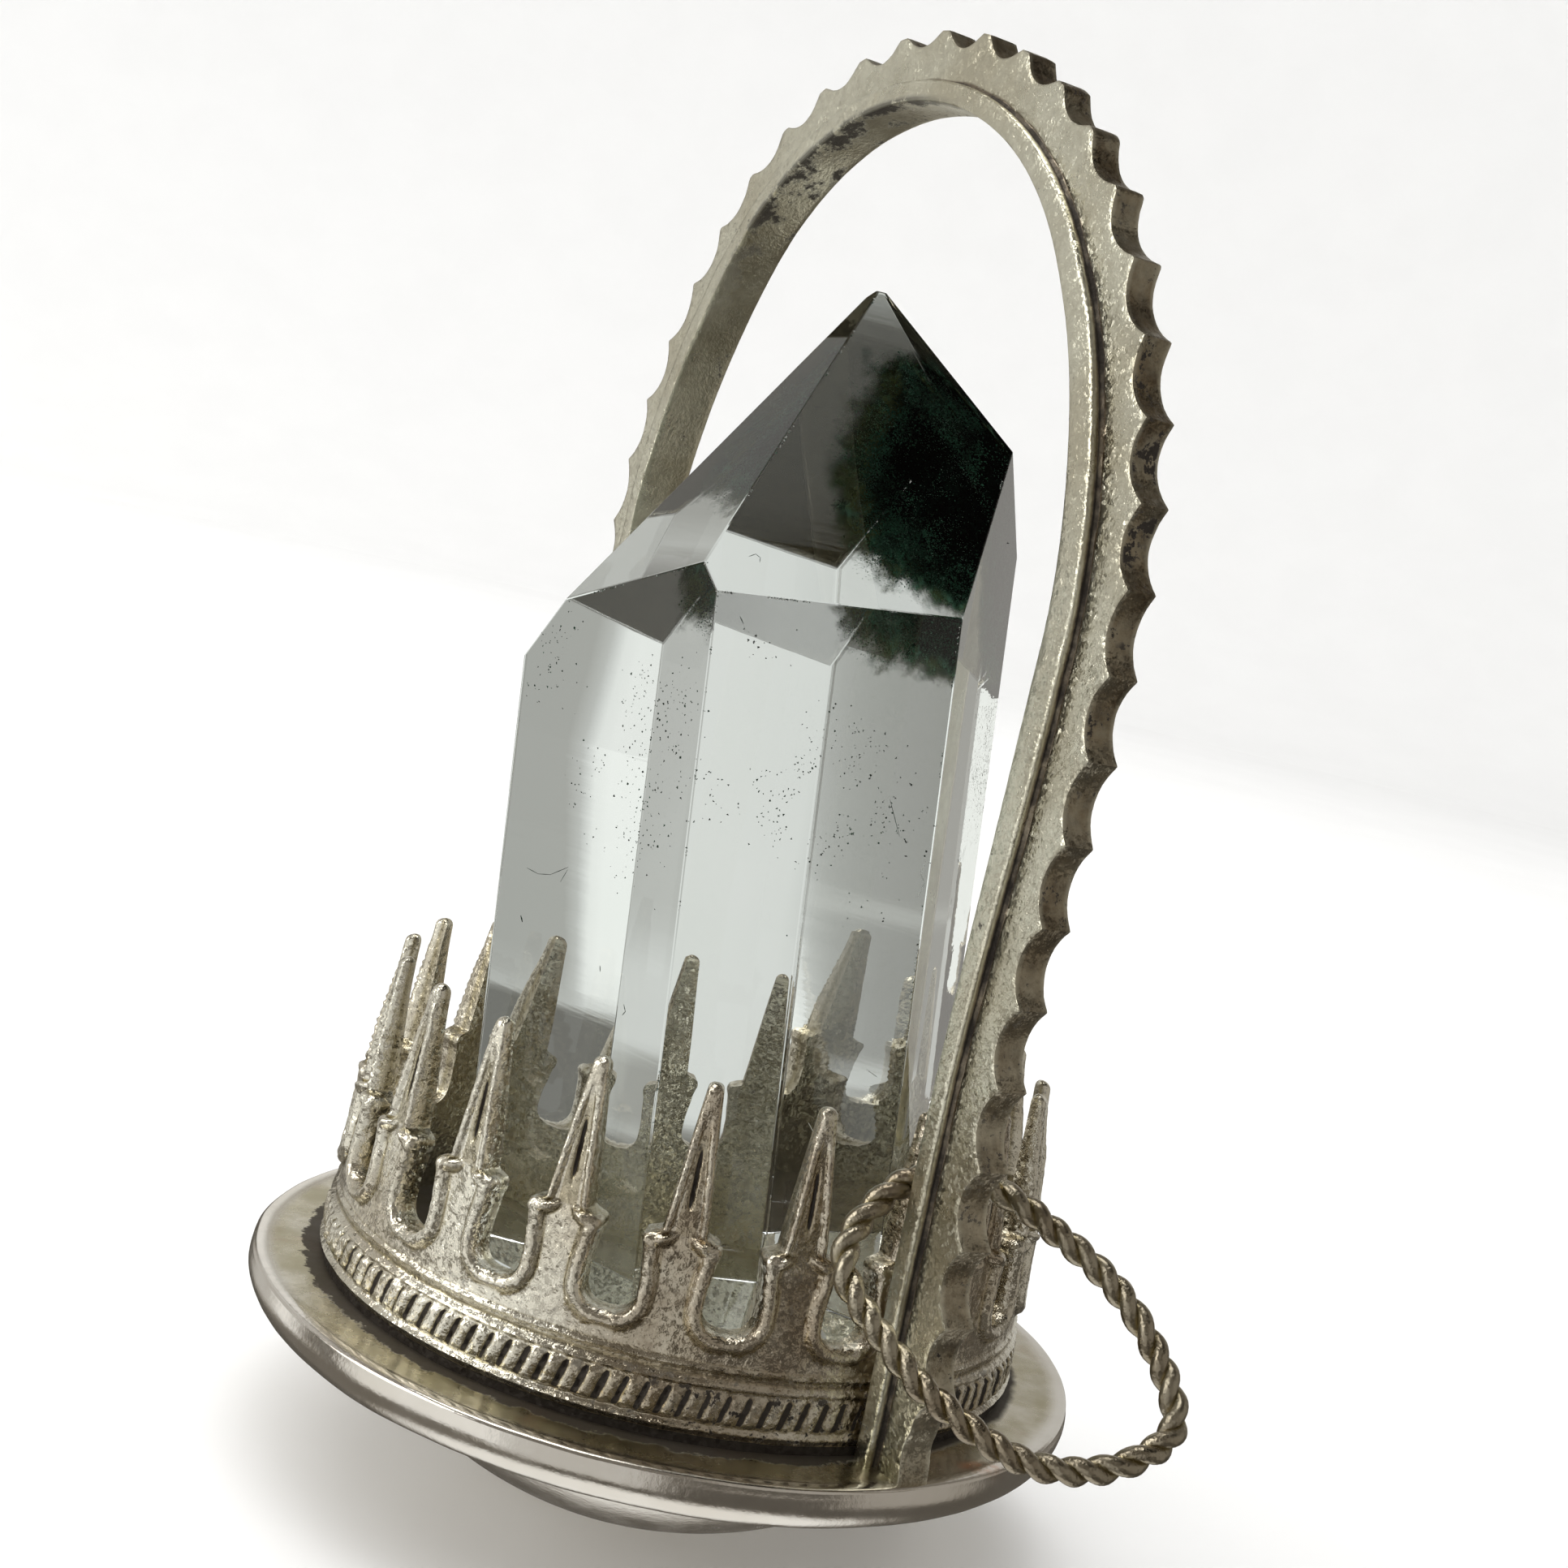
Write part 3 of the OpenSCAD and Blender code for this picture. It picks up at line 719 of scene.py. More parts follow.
# ---------------------------------------------------------------- arch
CROWN_HALF = 55.0
SHOULDER_R = 21.7
CROWN_Z = ARCH_Z - CROWN_R
SHOULDER_X = (CROWN_R - SHOULDER_R) * math.sin(math.radians(CROWN_HALF))
SHOULDER_CZ = CROWN_Z + (CROWN_R - SHOULDER_R) * math.cos(math.radians(CROWN_HALF))
LEG_X = SHOULDER_X + SHOULDER_R
LEG_R = 105.0
LEG_BEND_Z = 21.3
RUN_1 = (CROWN_R + CUSP_T) * math.radians(CROWN_HALF)
RUN_2 = RUN_1 + (SHOULDER_R + CUSP_T) * math.radians(90 - CROWN_HALF)
RUN_3 = RUN_2 + SHOULDER_CZ - LEG_BEND_Z


def arch_xz(s, t):
    """x and z in the arch's plane at signed length s from the top, t outward of the inner face."""
    sg = np.where(s < 0, -1.0, 1.0)
    q = np.abs(s)
    a1 = np.pi / 2 - q / (CROWN_R + CUSP_T)
    a2 = np.radians(90 - CROWN_HALF) - (q - RUN_1) / (SHOULDER_R + CUSP_T)
    a4 = -(q - RUN_3) / (LEG_R + CUSP_T)
    x = np.where(q < RUN_1, (CROWN_R + t) * np.cos(a1),
        np.where(q < RUN_2, SHOULDER_X + (SHOULDER_R + t) * np.cos(a2),
        np.where(q < RUN_3, LEG_X + t, LEG_X - LEG_R + (LEG_R + t) * np.cos(a4))))
    z = np.where(q < RUN_1, CROWN_Z + (CROWN_R + t) * np.sin(a1),
        np.where(q < RUN_2, SHOULDER_CZ + (SHOULDER_R + t) * np.sin(a2),
        np.where(q < RUN_3, SHOULDER_CZ - (q - RUN_2), LEG_BEND_Z + (LEG_R + t) * np.sin(a4))))
    return sg * x, z


def build_arch():
    per = 16
    s_end = RUN_3 + (LEG_R + CUSP_T) * math.asin((LEG_BEND_Z - FLANGE_TOP + 0.25) / (LEG_R + 1.2))
    k0 = int(math.floor((-s_end - FIRST_CUSP) / PITCH)) - 1
    k1 = int(math.ceil((s_end - FIRST_CUSP) / PITCH)) + 1
    rise = math.sqrt(SCALLOP_R**2 - PITCH**2 / 4)
    rng = np.random.RandomState(5)
    st, top, cavv, brn = [], [], [], []
    # facets bitten black by tarnish, by number counted down the near leg
    burnt = {-1: 0.2, 0: 0.2, 2: 0.35, 3: 0.40, 4: 0.45, 5: 0.15, 6: 0.35, 7: 0.85, 8: 0.95, 9: 0.8, 10: 0.35, 11: 0.4, 12: 0.25}
    for k in range(k0, k1):
        deep = rng.uniform(-0.05, 0.07)
        skew = rng.uniform(-0.12, 0.12)
        for j in range(per):
            f = j / per
            # denser towards the cusps
            g = f - 0.09 * math.sin(4 * math.pi * f) / 2
            x = (g - 0.5) * PITCH
            s = FIRST_CUSP + PITCH * (k + g)
            if s < -s_end or s > s_end:
                continue
            knob = 1 + 0.20 * math.exp(-((s / 14.0) ** 4))
            y2 = SCALLOP_R**2 - min(abs(x + skew * (0.25 - (x / PITCH) ** 2)) * knob, PITCH / 2) ** 2
            t = CUSP_T + rise - math.sqrt(y2)
            t -= deep * (1 - (2 * abs(x) / PITCH) ** 2)
            # cusps worn round, most at the crown
            cap = CUSP_T - 0.02 - 0.05 * math.exp(-((s / 12.5) ** 4))
            soft = 0.05 + 0.05 * math.exp(-((s / 12.5) ** 4))
            t = -soft * math.log(math.exp(-t / soft) + math.exp(-cap / soft))
            st.append(s)
            top.append(t)
            cavv.append(1 - abs(2 * g - 1))
            brn.append(burnt.get(k, 0.12) * (1 - abs(2 * g - 1)) ** 0.35)
    brn = np.array([0.0] + brn + [0.0])
    st = np.array([-s_end] + st + [s_end])
    top = np.array([top[0]] + top + [top[-1]])
    cavv = np.array([0.0] + cavv + [0.0])
    order = np.argsort(st)
    st, top, cavv, brn = st[order], top[order], cavv[order], brn[order]
    b, h = BAND_W / 2, STRIP_W / 2
    # section: (t, y, part). part 0 liner, 1 step, 2 strip side, 3 facet
    half = []
    half += [(0.012, 0.25, 0), (0.006, 0.55, 0), (0.0, 0.82, 0), (0.0, b - 0.10, 0), (0.03, b - 0.03, 0), (0.10, b, 0)]
    half += [(0.26, b + 0.0, 0), (0.44, b, 0), (0.60, b, 0), (0.70, b - 0.01, 0), (BAND_T - 0.02, b - 0.05, 0), (BAND_T, b - 0.12, 1)]
    half += [(BAND_T - 0.005, b - 0.22, 1), (BAND_T - 0.015, h + 0.15, 1), (BAND_T - 0.07, h + 0.13, 1), (BAND_T - 0.02, h + 0.075, 2), (BAND_T + 0.06, h + 0.03, 2)]
    half += [(0.05, h, 22), (0.12, h, 22), (0.45, h, 22), (0.70, h, 22), (0.88, h, 22), (0.975, h - 0.004, 22), (1.0, h - 0.030, 3), (1.0, h - 0.22, 3), (1.0, h - 0.42, 3)]
    sec = [(t, -y, p) for t, y, p in reversed(half)]
    sec = [(0.014, 0.0, 0)] + half + [(1.0, 0.0, 3)] + sec
    n = len(sec)
    T = np.zeros((len(st), n))
    Y = np.zeros((len(st), n))
    part = np.array([p for _, _, p in sec])
    cav = np.zeros((len(st), n))
    fct = np.zeros((len(st), n))
    inn = np.zeros((len(st), n))
    rimm = np.zeros((len(st), n))
    for j, (t, y, p) in enumerate(sec):
        if p == 0 and t < 0.05:
            inn[:, j] = 1.0 if abs(y) < b - 0.06 else 0.5
        if p == 0 and abs(y) >= b - 0.11 and t < 0.2:
            rimm[:, j] = 0.8
        if p in (0, 1, 2):
            T[:, j] = t
        elif p == 22:
            T[:, j] = BAND_T + t * (top - 0.06 - BAND_T)
        else:
            T[:, j] = top + (0.0 if abs(y) > h - 0.1 else 0.015)
        Y[:, j] = y
        if p == 1:
            cav[:, j] = 0.85 if abs(y) < h + 0.2 else (0.62 if abs(y) < b - 0.13 else 0.10)
        if p == 2:
            cav[:, j] = 0.74
        if p == 22 and t < 0.5:
            cav[:, j] = 0.60 if t < 0.06 else 0.0
        if p == 3:
            cav[:, j] = 0.10 * cavv + 0.05
            fct[:, j] = 1.0 if abs(y) < h - 0.1 else 0.45
        if p == 0 and abs(y) < b - 0.05:
            cav[:, j] = 0.20
    S = np.repeat(st[:, None], n, 1)
    X, Z = arch_xz(S, T)
    P = np.stack([X, Y, Z], -1)
    # the feet are filed to the flange's edge
    bow = smooth(20.5, 34.0, P[..., 2]) * (1 - smooth(44.0, 53.5, P[..., 2])) * (S > 0)
    thin = np.array([1.0 if (q == 0 and t < 0.2) else (0.6 if (q == 0 and t < 0.3) else (0.25 if (q == 0 and t < 0.5) else 0.0)) for t, _, q in sec])
    P[..., 0] += bow * (0.50 - 0.42 * thin[None, :])
    foot = smooth(9.4, 8.4, P[..., 2])
    rr = np.hypot(P[..., 0], P[..., 1])
    over = np.maximum(rr - 15.62, 0) * foot
    P[..., 0] -= over * np.sign(P[..., 0])
    # hand work: slow waves in width and thickness, and the near leg leans a little at its foot
    flat = P.reshape(-1, 3)
    wv = fnoise(flat, 0.22, 41, 2).reshape(len(st), n)
    wv2 = fnoise(flat, 0.9, 43, 2).reshape(len(st), n)
    P[..., 1] += 0.05 * wv + np.sign(Y) * 0.018 * wv2 * (np.abs(Y) > 0.5)
    P[..., 0] += 0.02 * wv2 * np.sign(P[..., 0])
    lean = np.where(S > 0, 1.0, 0.0) * np.clip((LEG_BEND_Z - P[..., 2]) / (LEG_BEND_Z - FLANGE_TOP), 0, 1.05) ** 1.6
    P[..., 1] += 1.15 * lean
    rows = len(st)
    V = P.reshape(-1, 3)
    q = grid_faces(rows, n, 0, wrap=True)
    c0 = len(V)
    V = np.vstack([V, P[0].mean(0)[None], P[-1].mean(0)[None]])
    cavf = np.concatenate([cav.ravel(), [0.5, 0.5]])
    f0 = np.stack([(np.arange(n) + 1) % n, np.arange(n), np.full(n, c0)], -1)
    last = (rows - 1) * n
    f1 = np.stack([last + np.arange(n), last + (np.arange(n) + 1) % n, np.full(n, c0 + 1)], -1)
    # cast grain in the mesh itself
    V[:, 0] += 0.008 * fnoise(V, 5.0, 51, 2)
    V[:, 1] += 0.008 * fnoise(V, 5.0, 53, 2)
    m = silver("arch_silver", clean=(0.83, 0.82, 0.70), warm=(0.52, 0.465, 0.335), grain=0.5, grain_scale=6600.0, olive=(0.17, 0.12, 0.08),
               rough=(0.26, 0.35), tarnish=0.5, cavity="cav", pits=0.9, grain_dist=0.04, cells=0.32, facet=True, spark=0.28)
    o = make_mesh("handle_arch", V, [q, f0, f1], m.m, attrs={"cav": cavf, "facet": np.concatenate([fct.ravel(), [0, 0]]), "burn": np.concatenate([np.repeat(brn[:, None], n, 1).ravel(), [0, 0]]), "inner": np.concatenate([inn.ravel(), [0, 0]]), "rim": np.concatenate([rimm.ravel(), [0, 0]])}, merge=0.0005, sharp=42)
    return o


# ---------------------------------------------------------------- ring
ROUTE = [
    (13.65, -0.1, 17.15), (13.68, 0.8, 17.25), (13.9, 1.9, 17.25), (14.5, 2.65, 17.15),
    (15.3, 3.25, 16.95), (16.1, 4.0, 16.45), (17.0, 5.0, 15.8), (17.9, 5.8, 15.1),
    (18.7, 6.4, 14.3), (19.5, 6.85, 13.4), (20.2, 7.05, 12.6), (20.8, 7.05, 11.8),
    (21.1, 6.6, 11.2), (21.1, 5.7, 10.65), (20.9, 4.6, 10.2), (20.5, 3.4, 9.95),
    (20.0, 2.3, 9.95), (19.4, 1.3, 10.2), (18.7, 0.4, 10.65), (18.0, -0.4, 11.15),
    (17.3, -1.1, 11.65), (16.5, -1.7, 12.35), (15.7, -2.3, 13.1), (15.0, -2.75, 13.8),
    (14.45, -2.85, 14.5), (14.1, -2.6, 15.1), (13.85, -2.1, 15.75), (13.7, -1.4, 16.4),
    (13.65, -0.75, 16.9),
]


def build_ring():
    K = np.array(ROUTE)
    n = len(K)
    pts = []
    for i in range(n):
        p0, p1, p2, p3 = K[i - 1], K[i], K[(i + 1) % n], K[(i + 2) % n]
        for t in np.linspace(0, 1, 24, endpoint=False):
            pts.append(0.5 * (2 * p1 + (p2 - p0) * t + (2 * p0 - 5 * p1 + 4 * p2 - p3) * t * t + (3 * p1 - p0 - 3 * p2 + p3) * t**3))
    pts = np.array(pts)
    for _ in range(6):
        pts = (np.roll(pts, 1, 0) + 2 * pts + np.roll(pts, -1, 0)) / 4
    seg = np.linalg.norm(np.roll(pts, -1, 0) - pts, axis=1)
    cum = np.concatenate([[0], np.cumsum(seg)])
    total = cum[-1]
    N = 620
    u = np.arange(N) / N * total
    closed = np.vstack([pts, pts[:1]])
    C = np.stack([np.interp(u, cum, closed[:, k]) for k in range(3)], -1)
    C[:, 0] -= 0.105 * smooth(17.5, 21.0, C[:, 0])
    T = np.roll(C, -1, 0) - np.roll(C, 1, 0)
    T /= np.linalg.norm(T, axis=1)[:, None]
    # frame carried round the loop, then its closing error spread along it
    ref = np.zeros_like(C)
    v = np.cross(T[0], [0, 0, 1.0])
    v /= np.linalg.norm(v)
    for i in range(N):
        v = v - T[i] * (v @ T[i])
        v /= np.linalg.norm(v)
        ref[i] = v
    vend = ref[-1] - T[0] * (ref[-1] @ T[0])
    vend /= np.linalg.norm(vend)
    b0 = np.cross(T[0], ref[0])
    err = math.atan2(vend @ b0, vend @ ref[0])
    turns = round(total / 2.0)
    B = np.cross(T, ref)
    sec = 14
    verts, faces, cavs = [], [], []
    wob = 0.5 * np.sin(u / total * 2 * np.pi * 5) + 0.35 * np.sin(u / total * 2 * np.pi * 11 + 1.3)
    for strand in (0, 1):
        ph = 2 * np.pi * turns * u / total - err * u / total + math.pi * strand + 0.35 * wob
        off = 0.200
        cen = C + off * (np.cos(ph)[:, None] * ref + np.sin(ph)[:, None] * B)
        t2 = np.roll(cen, -1, 0) - np.roll(cen, 1, 0)
        t2 /= np.linalg.norm(t2, axis=1)[:, None]
        n1 = np.cos(ph)[:, None] * ref + np.sin(ph)[:, None] * B
        n1 -= t2 * (n1 * t2).sum(1)[:, None]
        n1 /= np.linalg.norm(n1, axis=1)[:, None]
        n2 = np.cross(t2, n1)
        a = np.arange(sec) / sec * 2 * np.pi
        rad = 0.288 + 0.006 * fnoise(cen, 1.3, 61 + strand, 2)
        ring = cen[:, None, :] + rad[:, None, None] * (np.cos(a)[None, :, None] * n1[:, None, :] + np.sin(a)[None, :, None] * n2[:, None, :])
        base = sum(len(x) for x in verts)
        verts.append(ring.reshape(-1, 3))
        cavs.append(np.repeat((0.5 - 0.5 * np.cos(a))[None, :] ** 1.5, N, 0).ravel())
        r = np.arange(N)[:, None]
        c = np.arange(sec)[None, :]
        q = np.stack([base + r * sec + c, base + r * sec + (c + 1) % sec, base + ((r + 1) % N) * sec + (c + 1) % sec, base + ((r + 1) % N) * sec + c], -1).reshape(-1, 4)
        faces.append(q[:, ::-1])
    V = np.vstack(verts)
    V += 0.006 * np.stack([fnoise(V, 4.0, 71, 2), fnoise(V, 4.0, 72, 2), fnoise(V, 4.0, 73, 2)], -1)
    m = silver("wire_silver", clean=(0.42, 0.38, 0.30), warm=(0.27, 0.22, 0.16), grain=0.5, grain_scale=4200.0,
               rough=(0.24, 0.38), tarnish=0.9, cavity="cav", pits=0.6, grain_dist=0.05)
    return make_mesh("twisted_ring_wire", V, faces, m.m, attrs={"cav": np.concatenate(cavs) * 0.98})


# ---------------------------------------------------------------- quartz
Z0 = 4.3


def face_normal(az, slope):
    az, sl = math.radians(az), math.radians(slope)
    return np.array([math.sin(sl) * math.cos(az), math.sin(sl) * math.sin(az), math.cos(sl)])


def crystal_planes():
    lean = math.radians(5.95)
    k = np.array([0.068, -0.079, 0.0])
    k /= np.linalg.norm(k)
    R = np.array(Matrix.Rotation(lean, 3, Vector(k)))
    c = np.array([0.52, 0.85, FLANGE_TOP + 0.15])
    hexa = [(6.56, -6.46), (8.65, 2.37), (2.36, 9.18), (-7.07, 4.92), (-8.94, -2.44), (-2.35, -9.13)]
    P = []
    for i in range(6):
        a = np.array([*hexa[i], 0.0])
        b = np.array([*hexa[(i + 1) % 6], 0.0])
        n = np.array([b[1] - a[1], a[0] - b[0], 0.0])
        n /= np.linalg.norm(n)
        P.append(("side%d" % i, R @ n, c + R @ a))
    P.append(("bottom", np.array([0, 0, -1.0]), np.array([0, 0, FLANGE_TOP + 0.04])))
    ap = np.array([-2.6, 1.0, 46.8])
    P.append(("front", face_normal(-17.2, 51.5), ap))
    P.append(("left", face_normal(-91.4, 52.9), ap))
    P.append(("left_back", face_normal(-129.2, 61.3), np.array([-2.05, -9.52, 32.92])))
    P.append(("back", face_normal(161.3, 66.1), ap))
    P.append(("far_right", face_normal(122, 52), np.array([-2.6, 1.1, 46.8])))
    P.append(("right", face_normal(87.7, 51.5), np.array([-2.6, 1.1, 46.8])))
    P.append(("tip", np.array([0.10, -0.05, 0.99]), np.array([-2.6, 1.0, 46.66])))
    return P


def convex_faces(P):
    """Vertices and ordered faces of the solid inside all planes."""
    pts, owners = [], []
    n = len(P)
    for i in range(n):
        for j in range(i + 1, n):
            for k in range(j + 1, n):
                A = np.array([P[i][1], P[j][1], P[k][1]])
                if abs(np.linalg.det(A)) < 1e-5:
                    continue
                x = np.linalg.solve(A, [P[q][1] @ P[q][2] for q in (i, j, k)])
                if all(P[q][1] @ (x - P[q][2]) < 1e-6 for q in range(n)):
                    for m, y in enumerate(pts):
                        if np.linalg.norm(x - y) < 1e-4:
                            owners[m] |= {i, j, k}
                            break
                    else:
                        pts.append(x)
                        owners.append({i, j, k})
    faces = []
    for i in range(n):
        idx = [m for m, o in enumerate(owners) if i in o]
        if len(idx) < 3:
            continue
        c = np.mean([pts[m] for m in idx], 0)
        nrm = P[i][1]
        a = np.cross(nrm, [0.3, 0.5, 0.81])
        a /= np.linalg.norm(a)
        b = np.cross(nrm, a)
        idx.sort(key=lambda m: math.atan2((pts[m] - c) @ b, (pts[m] - c) @ a))
        faces.append(idx)
    return np.array(pts), faces


def material_quartz():
    m = Mat("clear_quartz")
    # growth striations across the prism and a few faint scratches
    x, y, z = m.xyz()
    stri = m.noise(60.0, 3, 0.5, vec=m.mapping(scale=(0.6, 0.6, 22.0)))
    fine = m.noise(420.0, 4, 0.6, w=2.0)
    nrm = m.bump(stri, 0.05, 0.05)
    nrm = m.bump(fine, 0.012, 0.02, nrm)
    haze = m.rng(m.noise(180.0, 4, 0.65, w=5.5), 0.56, 0.80, 0.0, 0.03)
    tint = m.mix(m.rng(m.noise(90.0, 2, 0.5, w=1.0), 0.35, 0.65), (0.955, 0.970, 0.958), (0.92, 0.945, 0.925))
    m.principled(Base_Color=tint, Roughness=haze, IOR=1.55, Transmission_Weight=1.0, Normal=nrm)
    return m.m


def build_crystal():
    # the far right face is no wider than a hair, so it is left to the edges' rounding
    pts, faces = convex_faces([q for q in crystal_planes() if q[0] != "far_right"])
    bm = bmesh.new()
    vs = [bm.verts.new(p * MM) for p in pts]
    for f in faces:
        bm.faces.new([vs[i] for i in f])
    bmesh.ops.recalc_face_normals(bm, faces=bm.faces)
    bmesh.ops.bevel(bm, geom=list(bm.edges), offset=0.055 * MM, segments=2, profile=0.6, affect="EDGES", clamp_overlap=True)
    bmesh.ops.recalc_face_normals(bm, faces=bm.faces)
    me = bpy.data.meshes.new("quartz_point_clear")
    bm.to_mesh(me)
    bm.free()
    me.materials.append(material_quartz())
    o = bpy.data.objects.new("quartz_point_clear", me)
    bpy.context.scene.collection.objects.link(o)
    return o


def inside(P, X, margin):
    ok = np.ones(len(X), bool)
    for _, n, p in P:
        ok &= (X - p) @ n < -margin
    return ok


def flakes(name, X, size, material, seed, flat=0.45):
    """Joined mesh of small irregular tetrahedra at points X (mm)."""
    rng = np.random.RandomState(seed)
    n = len(X)
    base = np.array([[1, 1, 1], [1, -1, -1], [-1, 1, -1], [-1, -1, 1]], float) / math.sqrt(3)
    q = rng.normal(size=(n, 4))
    q /= np.linalg.norm(q, axis=1)[:, None]
    w, x, y, z = q.T
    R = np.stack([
        np.stack([1 - 2 * (y * y + z * z), 2 * (x * y - z * w), 2 * (x * z + y * w)], -1),
        np.stack([2 * (x * y + z * w), 1 - 2 * (x * x + z * z), 2 * (y * z - x * w)], -1),
        np.stack([2 * (x * z - y * w), 2 * (y * z + x * w), 1 - 2 * (x * x + y * y)], -1),
    ], 1)
    s = size * rng.uniform(0.5, 1.3, (n, 1, 1))
    sh = base[None] * np.array([1, 1, flat]) * s * rng.uniform(0.7, 1.3, (n, 4, 1))
    V = X[:, None, :] + np.einsum("nij,nkj->nki", R, sh)
    V = V.reshape(-1, 3)
    i = np.arange(n)[:, None] * 4
    F = np.concatenate([i + np.array([[0, 1, 2]]), i + np.array([[0, 3, 1]]), i + np.array([[0, 2, 3]]), i + np.array([[1, 3, 2]])], 0)
    o = make_mesh(name, V, [F], material)
    o.data.polygons.foreach_set("use_smooth", [False] * len(o.data.polygons))
    return o


def build_sheets(planes):
    """Thin wispy growth sheets under the far faces: dense and black inside, green and torn at the edge."""
    m = Mat("chlorite_sheets")
    x, y, z = m.xyz()
    n1 = m.noise(420.0, 6, 0.62, dist=0.4)
    n2 = m.noise(1500.0, 5, 0.65, w=4.0, dist=0.5)
    n3 = m.noise(520.0, 4, 0.6, w=7.0)

    def shifted(sock, centre_mm, amp_mm, nz):
        # distance in mm from a level, pushed about by noise
        v = m.math("MULTIPLY", m.math("SUBTRACT", sock, centre_mm * MM), 1000.0)
        return m.math("ADD", v, m.math("MULTIPLY", m.math("SUBTRACT", nz, 0.5), 2 * amp_mm))

    low = m.rng(shifted(z, 32.95, 1.5, n1), -0.7, 1.2)
    top = m.rng(shifted(z, 43.75, 1.6, n3), 1.1, -1.1)
    lim = m.math("ADD", m.rng(z, 0.033, 0.039, 0.0017, 0.0), 0.00205)
    sv = m.math("MULTIPLY", m.math("SUBTRACT", y, lim), 1000.0)
    sv = m.math("ADD", sv, m.math("MULTIPLY", m.math("SUBTRACT", n1, 0.5), 3.4))
    side = m.rng(sv, -1.2, 2.0)
    mask = m.math("MULTIPLY", m.math("MULTIPLY", low, top), side)
    torn = m.math("ADD", mask, m.math("MULTIPLY", m.math("SUBTRACT", n2, 0.5), 0.75))
    alpha = m.math("MULTIPLY", m.rng(torn, 0.05, 0.72), m.rng(mask, 0.0, 0.12))
    green = m.mix(m.rng(n2, 0.40, 0.64), (0.010, 0.030, 0.014), (0.085, 0.185, 0.125))
    olive = m.mix(m.rng(n3, 0.42, 0.58), green, (0.078, 0.094, 0.036))
    edge = m.rng(mask, 0.92, 0.50)
    rightward = m.math("MULTIPLY", m.rng(z, 0.0395, 0.0425), m.rng(n2, 0.50, 0.68))
    edge = m.math("MAXIMUM", edge, m.math("MULTIPLY", rightward, 0.8))
    col = m.mix(edge, (0.0015, 0.003, 0.002), olive)
    m.principled(Base_Color=col, Roughness=1.0, Specular_IOR_Level=0.0, Alpha=alpha)
    verts, faces = [], []
    names = ["side2", "far_right", "right", "back"]
    for depth in (0.20, 0.85):
        for name in names:
            f = [q for q in planes if q[0] == name][0]
            poly = []
            for q in planes:
                inset = depth + (0.0 if q[0] == name else 0.05)
                poly.append((q[0], q[1], q[2] - q[1] * inset))
            poly.append(("inner", -f[1], f[2] - f[1] * (depth + 0.02)))
            poly.append(("floor", np.array([0, 0, -1.0]), np.array([0, 0, 31.2])))
            pts, fc = convex_faces(poly)
            if len(fc) < 4:
                continue
            b = len(verts)
            verts += [tuple(v * MM) for v in pts]
            faces += [[b + i for i in q] for q in fc]
    me = bpy.data.meshes.new("phantom_sheets")
    me.from_pydata(verts, [], faces)
    me.materials.append(m.m)
    bm = bmesh.new()
    bm.from_mesh(me)
    bmesh.ops.recalc_face_normals(bm, faces=bm.faces)
    bm.to_mesh(me)
    bm.free()
    o = bpy.data.objects.new("phantom_sheets", me)
    bpy.context.scene.collection.objects.link(o)
    return o


SCRATCHES = [
    # face, half width in mm, frosted or dark, points
    ("side1", 0.028, 0, [(4.8, 3.6, 35.7), (3.5, 5.0, 36.05)]),
    ("side1", 0.034, 0, [(3.9, 4.7, 35.1), (2.7, 6.0, 35.35), (1.2, 7.6, 35.8)]),
    ("side1", 0.036, 0, [(3.95, 4.8, 34.35), (2.6, 6.3, 34.55), (1.15, 7.7, 34.9)]),
    ("side1", 0.024, 0, [(3.2, 5.7, 33.8), (1.9, 7.1, 34.05)]),
    ("side5", 0.013, 0, [(-1.7, -9.0, 23.0), (-1.1, -8.8, 22.95), (-0.5, -8.6, 23.1), (0.3, -8.4, 23.6)]),
    ("side5", 0.013, 0, [(0.05, -8.4, 23.0), (0.3, -8.4, 23.5)]),
    ("side5", 0.035, 0, [(-1.6, -8.85, 21.2), (-1.5, -8.8, 21.05)]),
    ("side5", 0.020, 0, [(4.1, -7.1, 19.7), (4.2, -7.0, 19.5), (4.1, -7.0, 19.35)]),
    ("side5", 0.024, 0, [(2.65, -7.5, 20.65), (2.7, -7.5, 20.5)]),
    ("front", 0.013, 0, [(4.2, -6.1, 35.95), (4.2, -5.85, 36.1), (4.3, -5.7, 36.0), (4.4, -5.75, 35.85)]),
    ("side0", 0.018, 0, [(5.2, -6.5, 33.9), (5.25, -6.35, 33.7)]),
    ("side0", 0.012, 0, [(7.1, 0.0, 28.7), (7.3, 0.6, 27.5)]),
    ("side0", 0.026, 1, [(7.6, 1.75, 26.8), (7.6, 1.65, 26.35), (7.7, 1.85, 26.0), (7.7, 1.7, 25.5)]),
    ("side0", 0.020, 1, [(7.9, 1.1, 19.1), (8.05, 1.5, 18.9)]),
    ("side0", 0.014, 1, [(7.4, -0.6, 16.9), (7.5, -0.1, 16.3)]),
]


